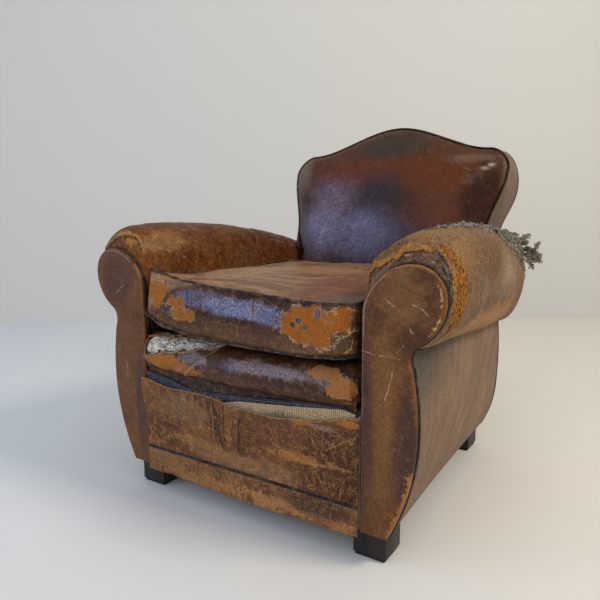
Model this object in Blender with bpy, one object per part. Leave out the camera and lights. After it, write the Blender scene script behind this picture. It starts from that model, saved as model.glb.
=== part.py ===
"""Leather club chair with rolled arms, a moustache back and a loose seat cushion.

Metres, +Z up, the front faces -Y. Depths run back from the front faces of the arm facings.
"""

import math

import bpy
from mathutils import Vector, noise

# Overall placing
FRONT_Y = -0.4354  # y of the facings' front faces
GAP = 0.0004  # between pieces that touch
LEATHER = 0.003

# Arm facing: a scroll head on a bellied stem
FACING_INNER = 0.2706
FACING_BOTTOM = 0.057
FACING_DEPTH = 0.009
HEAD_CENTRE = (0.3451, 0.4775)
HEAD_RADIUS = 0.0745
HEAD_TILT = math.radians(12.2)
NECK = ((0.3735, 0.4160), (0.3575, 0.4085), (0.3606, 0.3830))
FACING_RIM = 0.005
PIPING = 0.0026
PIPING_START = 0.300

# Outside of the arm: belly at the front and at the rear as (x, z, curve below, curve above)
BELLY_FRONT = (0.3755, 0.265, 1.22, 0.96)
BELLY_REAR = (0.333, 0.180, 2.20, 0.62)
SIDE_BOTTOM = 0.058

# Arm roll
ARM_START = 0.0150
ARM_END = 0.745
ARM_END_IN = 0.0045
ROLL_BOTTOM_FRONT, ROLL_BOTTOM_REAR = 0.402, 0.335
ROLL_OUTER_PAD, ROLL_OUTER_REAR = 0.428, 0.374
ROLL_INNER = 0.2660
ROLL_SWELL = 0.015
ROLL_TOP = 0.604
ROLL_TOP_AT = 0.16
ROLL_TOP_DROP = {"left": 0.29, "right": 0.12}
WALL_X = 0.2675
WALL_INSIDE = 0.285
WALL_START = 0.030
ARM_HOLLOW_TOP = 0.462
HOLLOW_IN = 0.010
ROLL_POINTS = 20
WALL_LEVELS = (0.385, 0.300, 0.240, 0.205, 0.175, 0.1504)

# Back
LEAN = 0.35
BACK_FRONT_AT_ARM = 0.670  # depth of the back's front edge at ARM_LEVEL
ARM_LEVEL = 0.600
REAR_BOTTOM = 0.650
REAR_BEND = 0.170
REAR_SOFT = 0.040
BACK_PAD = 0.028
BACK_CROWN = 0.045
BACK_CENTRE = 0.640
BACK_BOTTOM = 0.378
BACK_LOW_WIDTH = 0.2585
# Half outlines of the back's front and rear edge: side, ear and crest as Bezier ends
BACK_SIDE = (
    ((0.285, 0.530), (0.285, 0.620), (0.325, 0.665), (0.327, 0.735)),
    ((0.285, 0.530), (0.290, 0.610), (0.324, 0.630), (0.3235, 0.690)),
)
BACK_EAR = (
    ((0.327, 0.735), (0.327, 0.757), (0.305, 0.785), (0.275, 0.790)),
    ((0.3235, 0.690), (0.323, 0.735), (0.300, 0.785), (0.262, 0.7905)),
)
BACK_CREST = (
    ((0.275, 0.790), (0.185, 0.790), (0.095, 0.8605), (0.0, 0.8605)),
    ((0.262, 0.7905), (0.185, 0.790), (0.092, 0.8570), (0.0, 0.8570)),
)
BEHIND_ARM = ((0.3165, 0.345), (0.323, 0.400), (0.322, 0.460), (0.292, 0.490), (0.285, 0.530))
BAND_SIDE = 0.285
BAND_CLEAR = 0.0012

# Frame timber
RAIL_BOTTOM, RAIL_TOP = 0.062, 0.150
FRONT_RAIL_TOP = 0.2762
SIDE_RAIL = (0.2697, 0.2950)
POST = (0.215, 0.2585)
POST_FRONT = 0.0315
POST_DEEP = 0.035
POST_TOP = 0.600
CREST_WIDE = 0.055
ARM_RAIL = (0.2865, 0.3065)
ARM_RAIL_Z = (0.400, 0.4605)

# Feet
FOOT = 0.066
FOOT_FRONT = (0.249, 0.0175)
FOOT_REAR = (0.223, 0.584)
FOOT_TOP = 0.0616
FOOT_REBATE = 0.0565
FOOT_STEP = 0.003
PAD_TOP = 0.005
PAD_IN = 0.003

# Seat
SEAT_HALF = 0.264
CUSHION_FRONT, CUSHION_REAR = -0.016, 0.574
CUSHION_CORNER = 0.036
# Seams of the cushion's front as (x, z): the upper one lifts at the left, the lower one too
SEAM_TOP = ((-0.225, 0.513), (-0.160, 0.504), (-0.105, 0.493), (0.05, 0.483), (0.15, 0.477), (0.27, 0.479))
SEAM_LOW = ((-0.242, 0.418), (-0.185, 0.397), (-0.130, 0.386), (-0.02, 0.380), (0.15, 0.3775), (0.27, 0.386))
CUSHION_SWELL = 0.006
CUSHION_REST = 0.3748
LIP_CENTRE = (0.033, 0.3178)
LIP_RADIUS = (0.0455, 0.0349)
LIP_LIFT = 0.010
LIP_GAP = 0.0012
DECK_TOP = 0.3745
SPRING_TOP, SPRING_BOTTOM = 0.2769, 0.0622
SPRING_RADIUS, SPRING_WAIST, SPRING_WIRE, SPRING_TURNS = 0.040, 0.028, 0.0021, 5
WEBBING_Z = (0.0582, 0.0616)
WEB_STRIP = 0.050

# Front border
BORDER_HALF = 0.2690
BORDER_BOTTOM = 0.1100
BORDER_FACE = -0.0018
STRIP_TOP = 0.1030
STRIP_BOTTOM = 0.0500


def at(x, depth, z):
    return Vector((x, FRONT_Y + depth, z))


def mix(a, b, t):
    return a + (b - a) * t


def bell(value, centre, width):
    return math.exp(-(((value - centre) / width) ** 2))


def spread(low, high, count):
    return [mix(low, high, i / (count - 1)) for i in range(count)]


def profile(points, value):
    """Height at a value along (value, height) points."""
    if value <= points[0][0]:
        return points[0][1]
    for (a, low), (b, high) in zip(points, points[1:]):
        if value < b:
            return mix(low, high, (value - a) / (b - a))
    return points[-1][1]


def bezier(ends, count):
    """Points of a quadratic or cubic Bezier curve."""
    points = []
    for t in spread(0.0, 1.0, count):
        level = [Vector(end) for end in ends]
        while len(level) > 1:
            level = [a.lerp(b, t) for a, b in zip(level, level[1:])]
        points.append(level[0].copy())
    return points


# ---------------------------------------------------------------- materials

PALETTE = {
    "leather_brown": ((0.115, 0.050, 0.026), 0.42, 0.0),
    "leather_outside": ((0.150, 0.092, 0.062), 0.60, 0.0),
    "leather_dark": ((0.060, 0.022, 0.014), 0.30, 0.0),
    "piping_black": ((0.012, 0.011, 0.011), 0.45, 0.0),
    "beech": ((0.420, 0.270, 0.150), 0.55, 0.0),
    "foot_stain": ((0.018, 0.014, 0.012), 0.40, 0.0),
    "foot_pad": ((0.010, 0.010, 0.010), 0.80, 0.0),
    "jute": ((0.330, 0.240, 0.140), 0.90, 0.0),
    "spring_steel": ((0.300, 0.290, 0.280), 0.40, 1.0),
    "wadding": ((0.420, 0.390, 0.330), 0.95, 0.0),
    "horsehair": ((0.090, 0.075, 0.060), 0.95, 0.0),
    "cambric": ((0.030, 0.030, 0.034), 0.90, 0.0),
}


def material(name):
    found = bpy.data.materials.get(name)
    if found:
        return found
    colour, rough, metal = PALETTE[name]
    made = bpy.data.materials.new(name)
    made.use_nodes = True
    shader = made.node_tree.nodes["Principled BSDF"]
    shader.inputs["Base Color"].default_value = (*colour, 1.0)
    shader.inputs["Roughness"].default_value = rough
    shader.inputs["Metallic"].default_value = metal
    made.diffuse_color = (*colour, 1.0)
    return made


# ---------------------------------------------------------------- solids


def add_object(name, points, faces, finish):
    mesh = bpy.data.meshes.new(name)
    mesh.from_pydata([tuple(point) for point in points], [], faces)
    mesh.validate()
    mesh.materials.append(material(finish))
    obj = bpy.data.objects.new(name, mesh)
    bpy.context.collection.objects.link(obj)
    volume = sum(
        mesh.vertices[t.vertices[0]].co.dot(
            mesh.vertices[t.vertices[1]].co.cross(mesh.vertices[t.vertices[2]].co)
        )
        for t in triangles(mesh)
    )
    if volume < 0:
        mesh.flip_normals()
    return obj


def triangles(mesh):
    mesh.calc_loop_triangles()
    return mesh.loop_triangles


def loft(name, loops, finish, ends=True, cap=None):
    """A solid through closed loops of equal length, joined end to end or capped.

    cap lists the faces of one end as positions in the loop: the whole loop when left out.
    """
    count = len(loops[0])
    points = [point for loop in loops for point in loop]
    faces = []
    rows = len(loops) if not ends else len(loops) - 1
    for row in range(rows):
        low, high = row * count, (row + 1) % len(loops) * count
        for i in range(count):
            j = (i + 1) % count
            faces.append((low + i, low + j, high + j, high + i))
    if ends:
        last = (len(loops) - 1) * count
        for face in cap or (tuple(range(count)),):
            faces.append(tuple(reversed(face)))
            faces.append(tuple(i + last for i in face))
    return add_object(name, points, faces, finish)


def slab(name, front, back, finish):
    """A solid between two grids of points of the same shape."""
    rows, columns = len(front), len(front[0])
    flat = [point for row in front for point in row] + [point for row in back for point in row]
    half = rows * columns
    faces = []
    for r in range(rows - 1):
        for c in range(columns - 1):
            a = r * columns + c
            quad = (a, a + 1, a + columns + 1, a + columns)
            faces.append(quad)
            faces.append(tuple(reversed([i + half for i in quad])))
    rim = [c for c in range(columns)]
    rim += [r * columns + columns - 1 for r in range(1, rows)]
    rim += [(rows - 1) * columns + c for c in range(columns - 2, -1, -1)]
    rim += [r * columns for r in range(rows - 2, 0, -1)]
    for a, b in zip(rim, rim[1:] + rim[:1]):
        faces.append((b, a, a + half, b + half))
    return add_object(name, flat, faces, finish)


def prism(name, outline, finish, x=None, depth=None, z=None):
    """An outline carried along one axis: (depth, z) along x, (x, z) along depth, (x, depth) along z."""
    if x:
        loops = [[at(end, a, b) for a, b in outline] for end in x]
    elif depth:
        loops = [[at(a, end, b) for a, b in outline] for end in depth]
    else:
        loops = [[at(a, b, end) for a, b in outline] for end in z]
    return loft(name, loops, finish)


def box(name, x, depth, z, finish):
    corners = [(x[0], depth[0]), (x[1], depth[0]), (x[1], depth[1]), (x[0], depth[1])]
    return prism(name, corners, finish, z=z)


def tube(name, path, radius, finish, sides=6, closed=False):
    """A round cord along a path."""
    loops = []
    count = len(path)
    side = None
    for i, point in enumerate(path):
        before = path[i - 1] if closed or i else point
        after = path[(i + 1) % count] if closed or i < count - 1 else point
        ahead = (after - before).normalized()
        if side is None:
            side = ahead.cross(Vector((0.31, 0.17, 0.93))).normalized()
        side = (side - ahead * side.dot(ahead)).normalized()
        other = ahead.cross(side)
        loops.append(
            [
                point + radius * (math.cos(a) * side + math.sin(a) * other)
                for a in (2 * math.pi * k / sides for k in range(sides))
            ]
        )
    return loft(name, loops, finish, ends=not closed)


def inset(loop, distance):
    """A closed loop of (a, b) points, run counterclockwise, moved inwards by a distance."""
    moved = []
    for i, point in enumerate(loop):
        before, after = Vector(loop[i - 1]), Vector(loop[(i + 1) % len(loop)])
        here = Vector(point)
        one, two = (here - before).normalized(), (after - here).normalized()
        left = Vector((-one.y - two.y, one.x + two.x))
        left = left.normalized() / max(0.5, left.length / 2)
        moved.append((here.x + left.x * distance, here.y + left.y * distance))
    return moved


def mirrored(loop, side):
    """An (a, b) loop of the right-hand side, or its mirror image."""
    return [(side * a, b) for a, b in loop]


SIDES = (("left", -1), ("right", 1))

# ---------------------------------------------------------------- shared shapes


def back_front(z):
    """Depth of the back's front edge."""
    return BACK_FRONT_AT_ARM + LEAN * (z - ARM_LEVEL)


def rear(z):
    """Depth of the chair's rear face."""
    above = z - REAR_BEND
    return REAR_BOTTOM + LEAN * (above + math.hypot(above, REAR_SOFT)) / 2


def side_x(z, t):
    """Half-width of the outside arm at height z, from the front, t = 0, to the rear, t = 1."""
    x, middle, below, above = (mix(a, b, t) for a, b in zip(BELLY_FRONT, BELLY_REAR))
    return x - (below if z < middle else above) * (z - middle) ** 2


def head_point(angle):
    return (
        HEAD_CENTRE[0] + HEAD_RADIUS * math.cos(angle),
        HEAD_CENTRE[1] + HEAD_RADIUS * math.sin(angle + HEAD_TILT),
    )


def facing_outline():
    """The right-hand facing as (x, z), counterclockwise from its inner bottom corner."""
    belly = [(side_x(z, 0.0), z) for z in spread(FACING_BOTTOM, 0.375, 12)]
    neck = [tuple(point) for point in reversed(bezier(NECK, 5))]
    head = [head_point(math.radians(a)) for a in spread(-60, 180, 20)]
    return [(FACING_INNER, FACING_BOTTOM)] + belly + neck + head + [(FACING_INNER, 0.300)]


class Roll:
    """Section of one arm's padded roll at a depth."""

    def __init__(self, depth, side):
        swell = 1 - math.exp(-(depth - ARM_START) / ROLL_SWELL)
        self.t = (depth - ARM_START) / (ARM_END - ARM_START)
        top = ROLL_TOP - ROLL_TOP_DROP[side] * max(0.0, depth - ROLL_TOP_AT) ** 2
        top = mix(HEAD_CENTRE[1] + HEAD_RADIUS + 0.003, top, swell)
        bottom = mix(ROLL_BOTTOM_FRONT, ROLL_BOTTOM_REAR, self.t)
        outer = mix(ROLL_OUTER_PAD, ROLL_OUTER_REAR, max(0.0, (depth - 0.1) / (ARM_END - 0.1)))
        outer = mix(HEAD_CENTRE[0] + HEAD_RADIUS, outer, swell)
        inner = mix(FACING_INNER, ROLL_INNER, swell)
        behind_rail = 1 - math.exp(-max(0.0, depth - WALL_START) / ROLL_SWELL)
        self.wall = mix(FACING_INNER, WALL_X, behind_rail)
        self.centre = ((inner + outer) / 2, (bottom + top) / 2)
        self.size = ((outer - inner) / 2, (top - bottom) / 2)
        self.tilt = mix(HEAD_TILT, 0.0, mix(swell * 0.5, 1.0, self.t))

    def point(self, angle):
        return (
            self.centre[0] + self.size[0] * math.cos(angle),
            self.centre[1] + self.size[1] * math.sin(angle + self.tilt),
        )

    def under(self, x):
        """Height of the roll's underside at x."""
        share = max(-1.0, min(1.0, (x - self.centre[0]) / self.size[0]))
        return self.point(-math.acos(share))[1]

    def inner_x(self, z):
        """Half-width between the arms at height z."""
        if z < self.centre[1]:
            return min(self.wall, self.centre[0] - self.size[0])
        share = min(1.0, (z - self.centre[1]) / self.size[1])
        return self.centre[0] - self.size[0] * math.sqrt(1 - share**2)

    def over(self, x):
        """Height of the roll's upper side at x."""
        share = max(-1.0, min(1.0, (x - self.centre[0]) / self.size[0]))
        return self.centre[1] + self.size[1] * math.sqrt(1 - share**2)

    def panel_x(self):
        """Half-width of the outside arm where the roll's underside meets it."""
        return side_x(self.centre[1] - self.size[1] * 0.96, self.t)

    def panel_top(self):
        outer = self.panel_x()
        return min(self.under(outer), self.under(outer - LEATHER - 0.001)) - 0.0015

    def section(self):
        """The pad's outline as (x, z), counterclockwise, with the hollow for the arm rail."""
        edge = self.panel_x() - HOLLOW_IN
        start = -math.acos(min(1.0, (edge - self.centre[0]) / self.size[0]))
        rim = [self.point(a) for a in spread(start, math.pi, ROLL_POINTS)]
        wall = [(self.wall, z) for z in WALL_LEVELS]
        hollow = [(WALL_INSIDE, z) for z in reversed(WALL_LEVELS)]
        return rim + wall + hollow + [(WALL_INSIDE, ARM_HOLLOW_TOP), (edge, ARM_HOLLOW_TOP)]


def back_half(share=0.0):
    """Right-hand half of the back's outline from the arm up to the crest, front (0) to rear (1)."""
    points = []
    for (front, behind), count in ((BACK_SIDE, 9), (BACK_EAR, 7), (BACK_CREST, 10)):
        ends = [Vector(a).lerp(Vector(b), share) for a, b in zip(front, behind)]
        points = points[:-1] + bezier(ends, count)
    return [(p.x, p.y) for p in points]


def between_arms(z):
    """Half-width left free by both arms at height z, over the depth of the back pad."""
    widths = [Roll(d, name).inner_x(z) for name, _ in SIDES for d in (0.56, 0.62, 0.68, 0.73)]
    return min(widths) - 0.0025


def back_outline():
    """The back pad as (x, z), counterclockwise: narrow between the arms, wide above them."""
    low = [(min(BACK_LOW_WIDTH, between_arms(z)), z) for z in spread(BACK_BOTTOM, 0.500, 5)]
    blend = [(min(0.284, between_arms(z)), z) for z in (0.515, 0.530, 0.545)]
    high = [(x, z) for x, z in back_half() if z > 0.552]
    right = low + blend + high
    return right + [(-x, z) for x, z in reversed(right[:-1])]


# ---------------------------------------------------------------- frame


def build_frame():
    box("front_rail", (-0.2692, 0.2692), (0.003, 0.028), (RAIL_BOTTOM, FRONT_RAIL_TOP), "beech")
    box("rear_rail", (-0.2692, 0.2692), (0.6205, 0.6445), (RAIL_BOTTOM, RAIL_TOP), "beech")
    posts = []
    for z in (RAIL_BOTTOM, 0.300, POST_TOP):
        posts.append((max(0.597, back_front(z) + POST_FRONT), z))
    for z in (POST_TOP, 0.300, 0.265, RAIL_BOTTOM):
        posts.append((max(0.6200, back_front(z) + POST_FRONT + POST_DEEP), z))
    for name, side in SIDES:
        x = sorted((side * SIDE_RAIL[0], side * SIDE_RAIL[1]))
        box(f"side_rail_{name}", x, (FACING_DEPTH + GAP, 0.645), (RAIL_BOTTOM, RAIL_TOP), "beech")
        board = mirrored(inset(facing_outline(), 0.004), side)
        prism(f"facing_board_{name}", board, "beech", depth=(0.0038, FACING_DEPTH - 0.0003))
        prism(f"back_post_{name}", posts, "beech", x=sorted((side * POST[0], side * POST[1])))
        rail = [(FACING_DEPTH + GAP, ARM_RAIL_Z[0])]
        rail += [(rear(z) - 0.0304, z) for z in ARM_RAIL_Z]
        rail += [(FACING_DEPTH + GAP, ARM_RAIL_Z[1])]
        x = sorted((side * ARM_RAIL[0], side * ARM_RAIL[1]))
        prism(f"arm_rail_{name}", rail, "beech", x=x)
        heights = (RAIL_TOP + GAP, 0.2, 0.3, ARM_RAIL_Z[1])
        board = [(rear(z) - 0.030, z) for z in heights]
        board += [(rear(z) - 0.008, z) for z in reversed(heights)]
        prism(f"rear_arm_board_{name}", board, "beech", x=x)
    box("back_lower_rail", (-0.2580, 0.2580), (0.574, 0.5966), (0.235, FRONT_RAIL_TOP), "beech")
    build_crest()


def build_crest():
    """The shaped arch that carries the back's edge, standing on the posts."""
    foot = POST_TOP + GAP
    half = [(x, z) for x, z in back_half() if z > foot + 0.02]
    outer = [(half[0][0] - 0.006, foot)] + half
    outer += [(-x, z) for x, z in reversed(outer[:-1])]
    shape = inset(outer, 0.013)
    shape = [(shape[0][0], foot)] + shape[1:-1] + [(shape[-1][0], foot)]
    inner = []
    for x, z in shape:
        reach = Vector((x, z - foot))
        short = reach * (1 - CREST_WIDE / reach.length)
        inner.append((short.x, foot + short.y if z > foot else foot))
    front = [[at(x, back_front(z) + POST_FRONT, z) for x, z in row] for row in (shape, inner)]
    back = [[p + Vector((0, POST_DEEP, 0)) for p in row] for row in front]
    slab("crest_board", front, back, "beech")


def build_feet():
    for name, side in SIDES:
        for end, (inner, front) in (("front", FOOT_FRONT), ("rear", FOOT_REAR)):
            x = sorted((side * inner, side * (inner + FOOT)))
            back = front + FOOT
            shape = [(front, PAD_TOP + GAP), (back, PAD_TOP + GAP)]
            if end == "rear":
                step = REAR_BOTTOM - FOOT_STEP
                shape += [(back, FOOT_REBATE), (step, FOOT_REBATE), (step, FOOT_TOP)]
            else:
                shape.append((back, FOOT_TOP))
            shape.append((front, FOOT_TOP))
            prism(f"foot_{end}_{name}", shape, "foot_stain", x=x)
            low = (x[0] + PAD_IN, x[1] - PAD_IN)
            box(f"foot_pad_{end}_{name}", low, (front + PAD_IN, back - PAD_IN), (0.0, PAD_TOP), "foot_pad")


# ---------------------------------------------------------------- suspension


def build_webbing():
    """Strips woven both ways and tacked under the rails: one platform with square openings."""
    xs, ys = [], []
    for centre in (-0.180, -0.060, 0.060, 0.180):
        xs += [centre - WEB_STRIP / 2, centre + WEB_STRIP / 2]
    for centre in (0.135, 0.265, 0.395, 0.525):
        ys += [centre - WEB_STRIP / 2, centre + WEB_STRIP / 2]
    xs = [-0.285] + xs + [0.285]
    ys = [0.010] + ys + [0.640]
    index, points, faces = {}, [], []

    def corner(i, j, k):
        if (i, j, k) not in index:
            index[(i, j, k)] = len(points)
            points.append(at(xs[i], ys[j], WEBBING_Z[k]))
        return index[(i, j, k)]

    def filled(i, j):
        inside = 0 <= i < len(xs) - 1 and 0 <= j < len(ys) - 1
        return inside and (i % 2 == 1 or j % 2 == 1)

    for i in range(len(xs) - 1):
        for j in range(len(ys) - 1):
            if not filled(i, j):
                continue
            square = [(i, j), (i + 1, j), (i + 1, j + 1), (i, j + 1)]
            faces.append([corner(a, b, 1) for a, b in square])
            faces.append([corner(a, b, 0) for a, b in reversed(square)])
            beside = [(i, j - 1), (i + 1, j), (i, j + 1), (i - 1, j)]
            for (a, b), other in zip(zip(square, square[1:] + square[:1]), beside):
                if not filled(*other):
                    faces.append([corner(*b, 1), corner(*a, 1), corner(*a, 0), corner(*b, 0)])
    add_object("seat_webbing", points, faces, "jute")


def build_springs():
    places = [(x, 0.15) for x in (-0.16, 0.0, 0.16)]
    places += [(x, 0.31) for x in (-0.09, 0.09)]
    places += [(x, 0.47) for x in (-0.16, 0.0, 0.16)]
    per_turn = 8
    steps = SPRING_TURNS * per_turn
    low, high = SPRING_BOTTOM + SPRING_WIRE, SPRING_TOP - SPRING_WIRE
    for number, (x, depth) in enumerate(places, 1):
        path = []
        for step in range(steps + 1):
            t = step / steps
            angle = 2 * math.pi * step / per_turn
            radius = mix(SPRING_WAIST, SPRING_RADIUS, (2 * t - 1) ** 2)
            path.append(at(x + radius * math.cos(angle), depth + radius * math.sin(angle), mix(low, high, t)))
        tube(f"spring_{number}", path, SPRING_WIRE, "spring_steel", sides=4)


def build_seat_layers():
    top = FRONT_RAIL_TOP + 0.0010
    box("spring_hessian", (-SEAT_HALF, SEAT_HALF), (0.006, 0.5960), (top, top + 0.002), "jute")
    low = top + 0.002 + GAP
    box("seat_stuffing", (-SEAT_HALF, SEAT_HALF), (0.0850, 0.5960), (low, DECK_TOP - 0.0025), "horsehair")
    box("deck_cover", (-SEAT_HALF, SEAT_HALF), (0.0850, 0.5960), (DECK_TOP - 0.0020, DECK_TOP), "cambric")


def lip_point(x, angle, grow):
    """A point round the front roll of the seat."""
    lift = LIP_LIFT * (x / SEAT_HALF) ** 2
    narrow = 1 - 0.10 * bell(x, -SEAT_HALF, 0.03)
    reach = (LIP_RADIUS[0] * narrow + grow, LIP_RADIUS[1] * narrow + grow)
    return at(
        x,
        LIP_CENTRE[0] - reach[0] * math.cos(angle),
        LIP_CENTRE[1] + lift + reach[1] * math.sin(angle),
    )


def build_lip():
    """Front roll of the seat: wadding, and a leather cover torn away at its left end."""
    stations = spread(-SEAT_HALF + 0.004, SEAT_HALF, 16)
    angles = [2 * math.pi * k / 14 for k in range(14)]
    loops = [[lip_point(x, a, 0.0) for a in angles] for x in stations]
    loft("lip_wadding", loops, "wadding")
    outer, inner = [], []
    for x in spread(-SEAT_HALF, SEAT_HALF, 22):
        torn = max(0.0, min(1.0, (-0.055 - x) / 0.16))
        first, last = math.radians(mix(118, 22, torn)), math.radians(-78)
        sweep = spread(first, last, 12)
        outer.append([lip_point(x, a, LIP_GAP + LEATHER) for a in sweep])
        inner.append([lip_point(x, a, LIP_GAP) for a in sweep])
    slab("lip_cover", outer, inner, "leather_dark")


def cushion_top(x, depth):
    """Height of the cushion's upper seam: lifted at its left front corner, sagging towards the right."""
    return mix(0.480, profile(SEAM_TOP, x), math.exp(-max(0.0, depth) / 0.10))


def cushion_bottom(x, depth):
    return mix(0.3785, profile(SEAM_LOW, x), math.exp(-max(0.0, depth) / 0.05))


def cushion_outline(grow):
    """Plan of the cushion as (x, depth), counterclockwise, with rounded corners."""
    plan = []
    r = CUSHION_CORNER
    half = SEAT_HALF - CUSHION_SWELL - r
    plan_corners = (
        (half, CUSHION_FRONT + r, -90),
        (half, CUSHION_REAR - r, 0),
        (-half, CUSHION_REAR - r, 90),
        (-half, CUSHION_FRONT + r, 180),
    )
    for x, depth, start in plan_corners:
        for a in spread(start, start + 90, 5):
            a = math.radians(a)
            plan.append((x + (r + grow) * math.cos(a), depth + (r + grow) * math.sin(a)))
    return spaced(plan, 0.065)


def spaced(loop, longest):
    """A closed loop with its long straight stretches divided."""
    out = []
    for a, b in zip(loop, loop[1:] + loop[:1]):
        a, b = Vector(a), Vector(b)
        parts = max(1, math.ceil((b - a).length / longest))
        out += [tuple(a.lerp(b, k / parts)) for k in range(parts)]
    return out


def build_cushion():
    """Loose cushion: a boxed case with a piping cord round each seam."""
    case = cushion_outline(0.0)
    swollen = cushion_outline(CUSHION_SWELL - 0.001)
    centre = (CUSHION_FRONT + CUSHION_REAR) / 2
    loops = []

    def ring(plan, share, height):
        return [
            at(x * share, centre + (d - centre) * share, height(x, d))
            for x, d in plan
        ]

    for share in (0.35, 0.75, 0.90, 1.0):
        loops.append(ring(case, share, lambda x, d, k=share**20: mix(CUSHION_REST, cushion_bottom(x, d), k)))
    for level in (0.22, 0.5, 0.78):
        loops.append(ring(swollen, 1.0, lambda x, d, k=level: mix(cushion_bottom(x, d), cushion_top(x, d), k)))
    for share, rise in ((1.0, 0.0), (0.94, 0.0035), (0.80, 0.008), (0.55, 0.007), (0.25, 0.003)):
        loops.append(ring(case, share, lambda x, d, k=rise: mix(0.4780, cushion_top(x, d), share**3) + k))
    loft("seat_cushion", loops, "leather_brown")
    cord = cushion_outline(PIPING + GAP)
    top = [at(x, d, cushion_top(x, d) + 0.0005) for x, d in cord]
    tube("cushion_piping_top", top, PIPING, "piping_black", closed=True)
    low = [at(x, d, cushion_bottom(x, d) - 0.0005) for x, d in cord]
    tube("cushion_piping_bottom", low, PIPING, "piping_black", closed=True)


# ---------------------------------------------------------------- arms


def build_arms():
    for name, side in SIDES:
        build_facing(name, side)
        build_arm_pad(name, side)
        build_outside_arm(name, side)


def build_facing(name, side):
    outline = facing_outline()
    levels = (
        (0.0034, 0.0036),
        (0.0034, FACING_DEPTH),
        (0.0, FACING_DEPTH),
        (0.0, FACING_RIM),
        (0.0022, 0.0024),
        (FACING_RIM, 0.0),
    )
    loops = [[at(x, d, z) for x, z in mirrored(inset(outline, i), side)] for i, d in levels]
    loft(f"facing_cover_{name}", loops, "leather_brown")
    start = next(i for i, (x, z) in enumerate(outline) if i and z <= FACING_BOTTOM + 0.001)
    run = inset(outline, -0.0012)[start:-1] + [(FACING_INNER - 0.0012, PIPING_START)]
    path = [at(side * x, FACING_DEPTH + PIPING + GAP, z) for x, z in run]
    tube(f"facing_piping_{name}", path, PIPING, "piping_black")


def arm_depths():
    near = [ARM_START + step for step in (0.0, 0.005, 0.012, 0.022, 0.038, 0.065, 0.105)]
    return near + spread(0.170, ARM_END, 10)


def build_arm_pad(name, side):
    """Inside arm and roll in one: leather over stuffing, hollow round the arm rail."""
    loops = []
    for depth in arm_depths():
        share = (depth - ARM_START) / (ARM_END - ARM_START)
        section = mirrored(Roll(depth, name).section(), side)
        loops.append([at(x, mix(ARM_START, rear(z) - ARM_END_IN, share), z) for x, z in section])
    first = ROLL_POINTS
    last = first + 2 * len(WALL_LEVELS) - 1
    cap = [(first + k, first + k + 1, last - k - 1, last - k) for k in range(len(WALL_LEVELS) - 1)]
    cap.append((*range(first + 1), last, last + 1, last + 2))
    loft(f"arm_pad_{name}", loops, "leather_brown", cap=cap)


def build_outside_arm(name, side):
    outer, inner = [], []
    for t in spread(0.0, 1.0, 9):
        depth = mix(ARM_START, ARM_END, t)
        roll = Roll(depth, name)
        heights = spread(SIDE_BOTTOM, roll.panel_top(), 10)
        row = [(side_x(z, t), mix(ARM_START, rear(z) - PIPING - 0.0006, t), z) for z in heights]
        outer.append([at(side * x, d, z) for x, d, z in row])
        inner.append([at(side * (x - LEATHER), d, z) for x, d, z in row])
    slab(f"outside_arm_{name}", outer, inner, "leather_outside")


# ---------------------------------------------------------------- back


def build_back():
    build_back_pad()
    build_back_band()
    build_outside_back()


def build_back_pad():
    outline = inset(back_outline(), LEATHER + GAP)
    behind = inset(back_outline(), 0.0100)
    loops = [[at(x, back_front(z) + BACK_PAD, z) for x, z in behind]]
    for share in (1.0, 0.985, 0.94, 0.86, 0.72, 0.52, 0.28):
        bulge = BACK_CROWN * math.sqrt(max(0.0, 1 - share**2))
        row = [(x * share, BACK_CENTRE + (z - BACK_CENTRE) * share) for x, z in outline]
        loops.append([at(x, back_front(z) + 0.001 - bulge, z) for x, z in row])
    loft("back_pad", loops, "leather_dark")


def band_path(share):
    """The back's edge above the arms from right to left, at a share of its depth."""
    half = back_half(share)
    ends = {}
    for name, _ in SIDES:
        z = BACK_SIDE[0][0][1]
        depth = mix(back_front(z), rear(z), share)
        reach = (depth - ARM_START) / (rear(z) - ARM_END_IN - ARM_START)
        roll = Roll(mix(ARM_START, ARM_END, min(1.0, reach)), name)
        ends[name] = (BAND_SIDE, roll.over(BAND_SIDE) + BAND_CLEAR)
    first = next(i for i, (x, z) in enumerate(back_half()) if z > ends["right"][1] + 0.03)
    run = half[first:]
    return [ends["right"]] + run + [(-x, z) for x, z in reversed([ends["left"]] + run[:-1])]


def shifted(path, distance):
    """An open (x, z) path that runs counterclockwise, moved inwards."""
    moved = []
    for i, point in enumerate(path):
        before, after = Vector(path[max(0, i - 1)]), Vector(path[min(len(path) - 1, i + 1)])
        ahead = (after - before).normalized()
        moved.append((point[0] - ahead.y * distance, point[1] + ahead.x * distance))
    return moved


def build_back_band():
    outer, inner = [], []
    for share in spread(0.0, 1.0, 4):
        path = band_path(share)
        for row, line in ((outer, path), (inner, shifted(path, LEATHER))):
            row.append(
                [
                    at(x, mix(back_front(z) + 0.0034, rear(z) - 0.0034, share), z)
                    for x, z in line
                ]
            )
    slab("back_band", outer, inner, "leather_outside")
    cord = [at(x, back_front(z), z) for x, z in shifted(band_path(0.0), 0.0006)]
    tube("back_piping_front", cord, PIPING, "piping_black")


def rear_half():
    """Right-hand half of the rear outline, from the bottom to the crest."""
    low = [(side_x(z, 1.0), z) for z in spread(SIDE_BOTTOM, 0.330, 9)]
    middle = [(p.x, p.y) for p in bezier(BEHIND_ARM, 8)]
    return low + middle + back_half(1.0)[1:]


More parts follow.
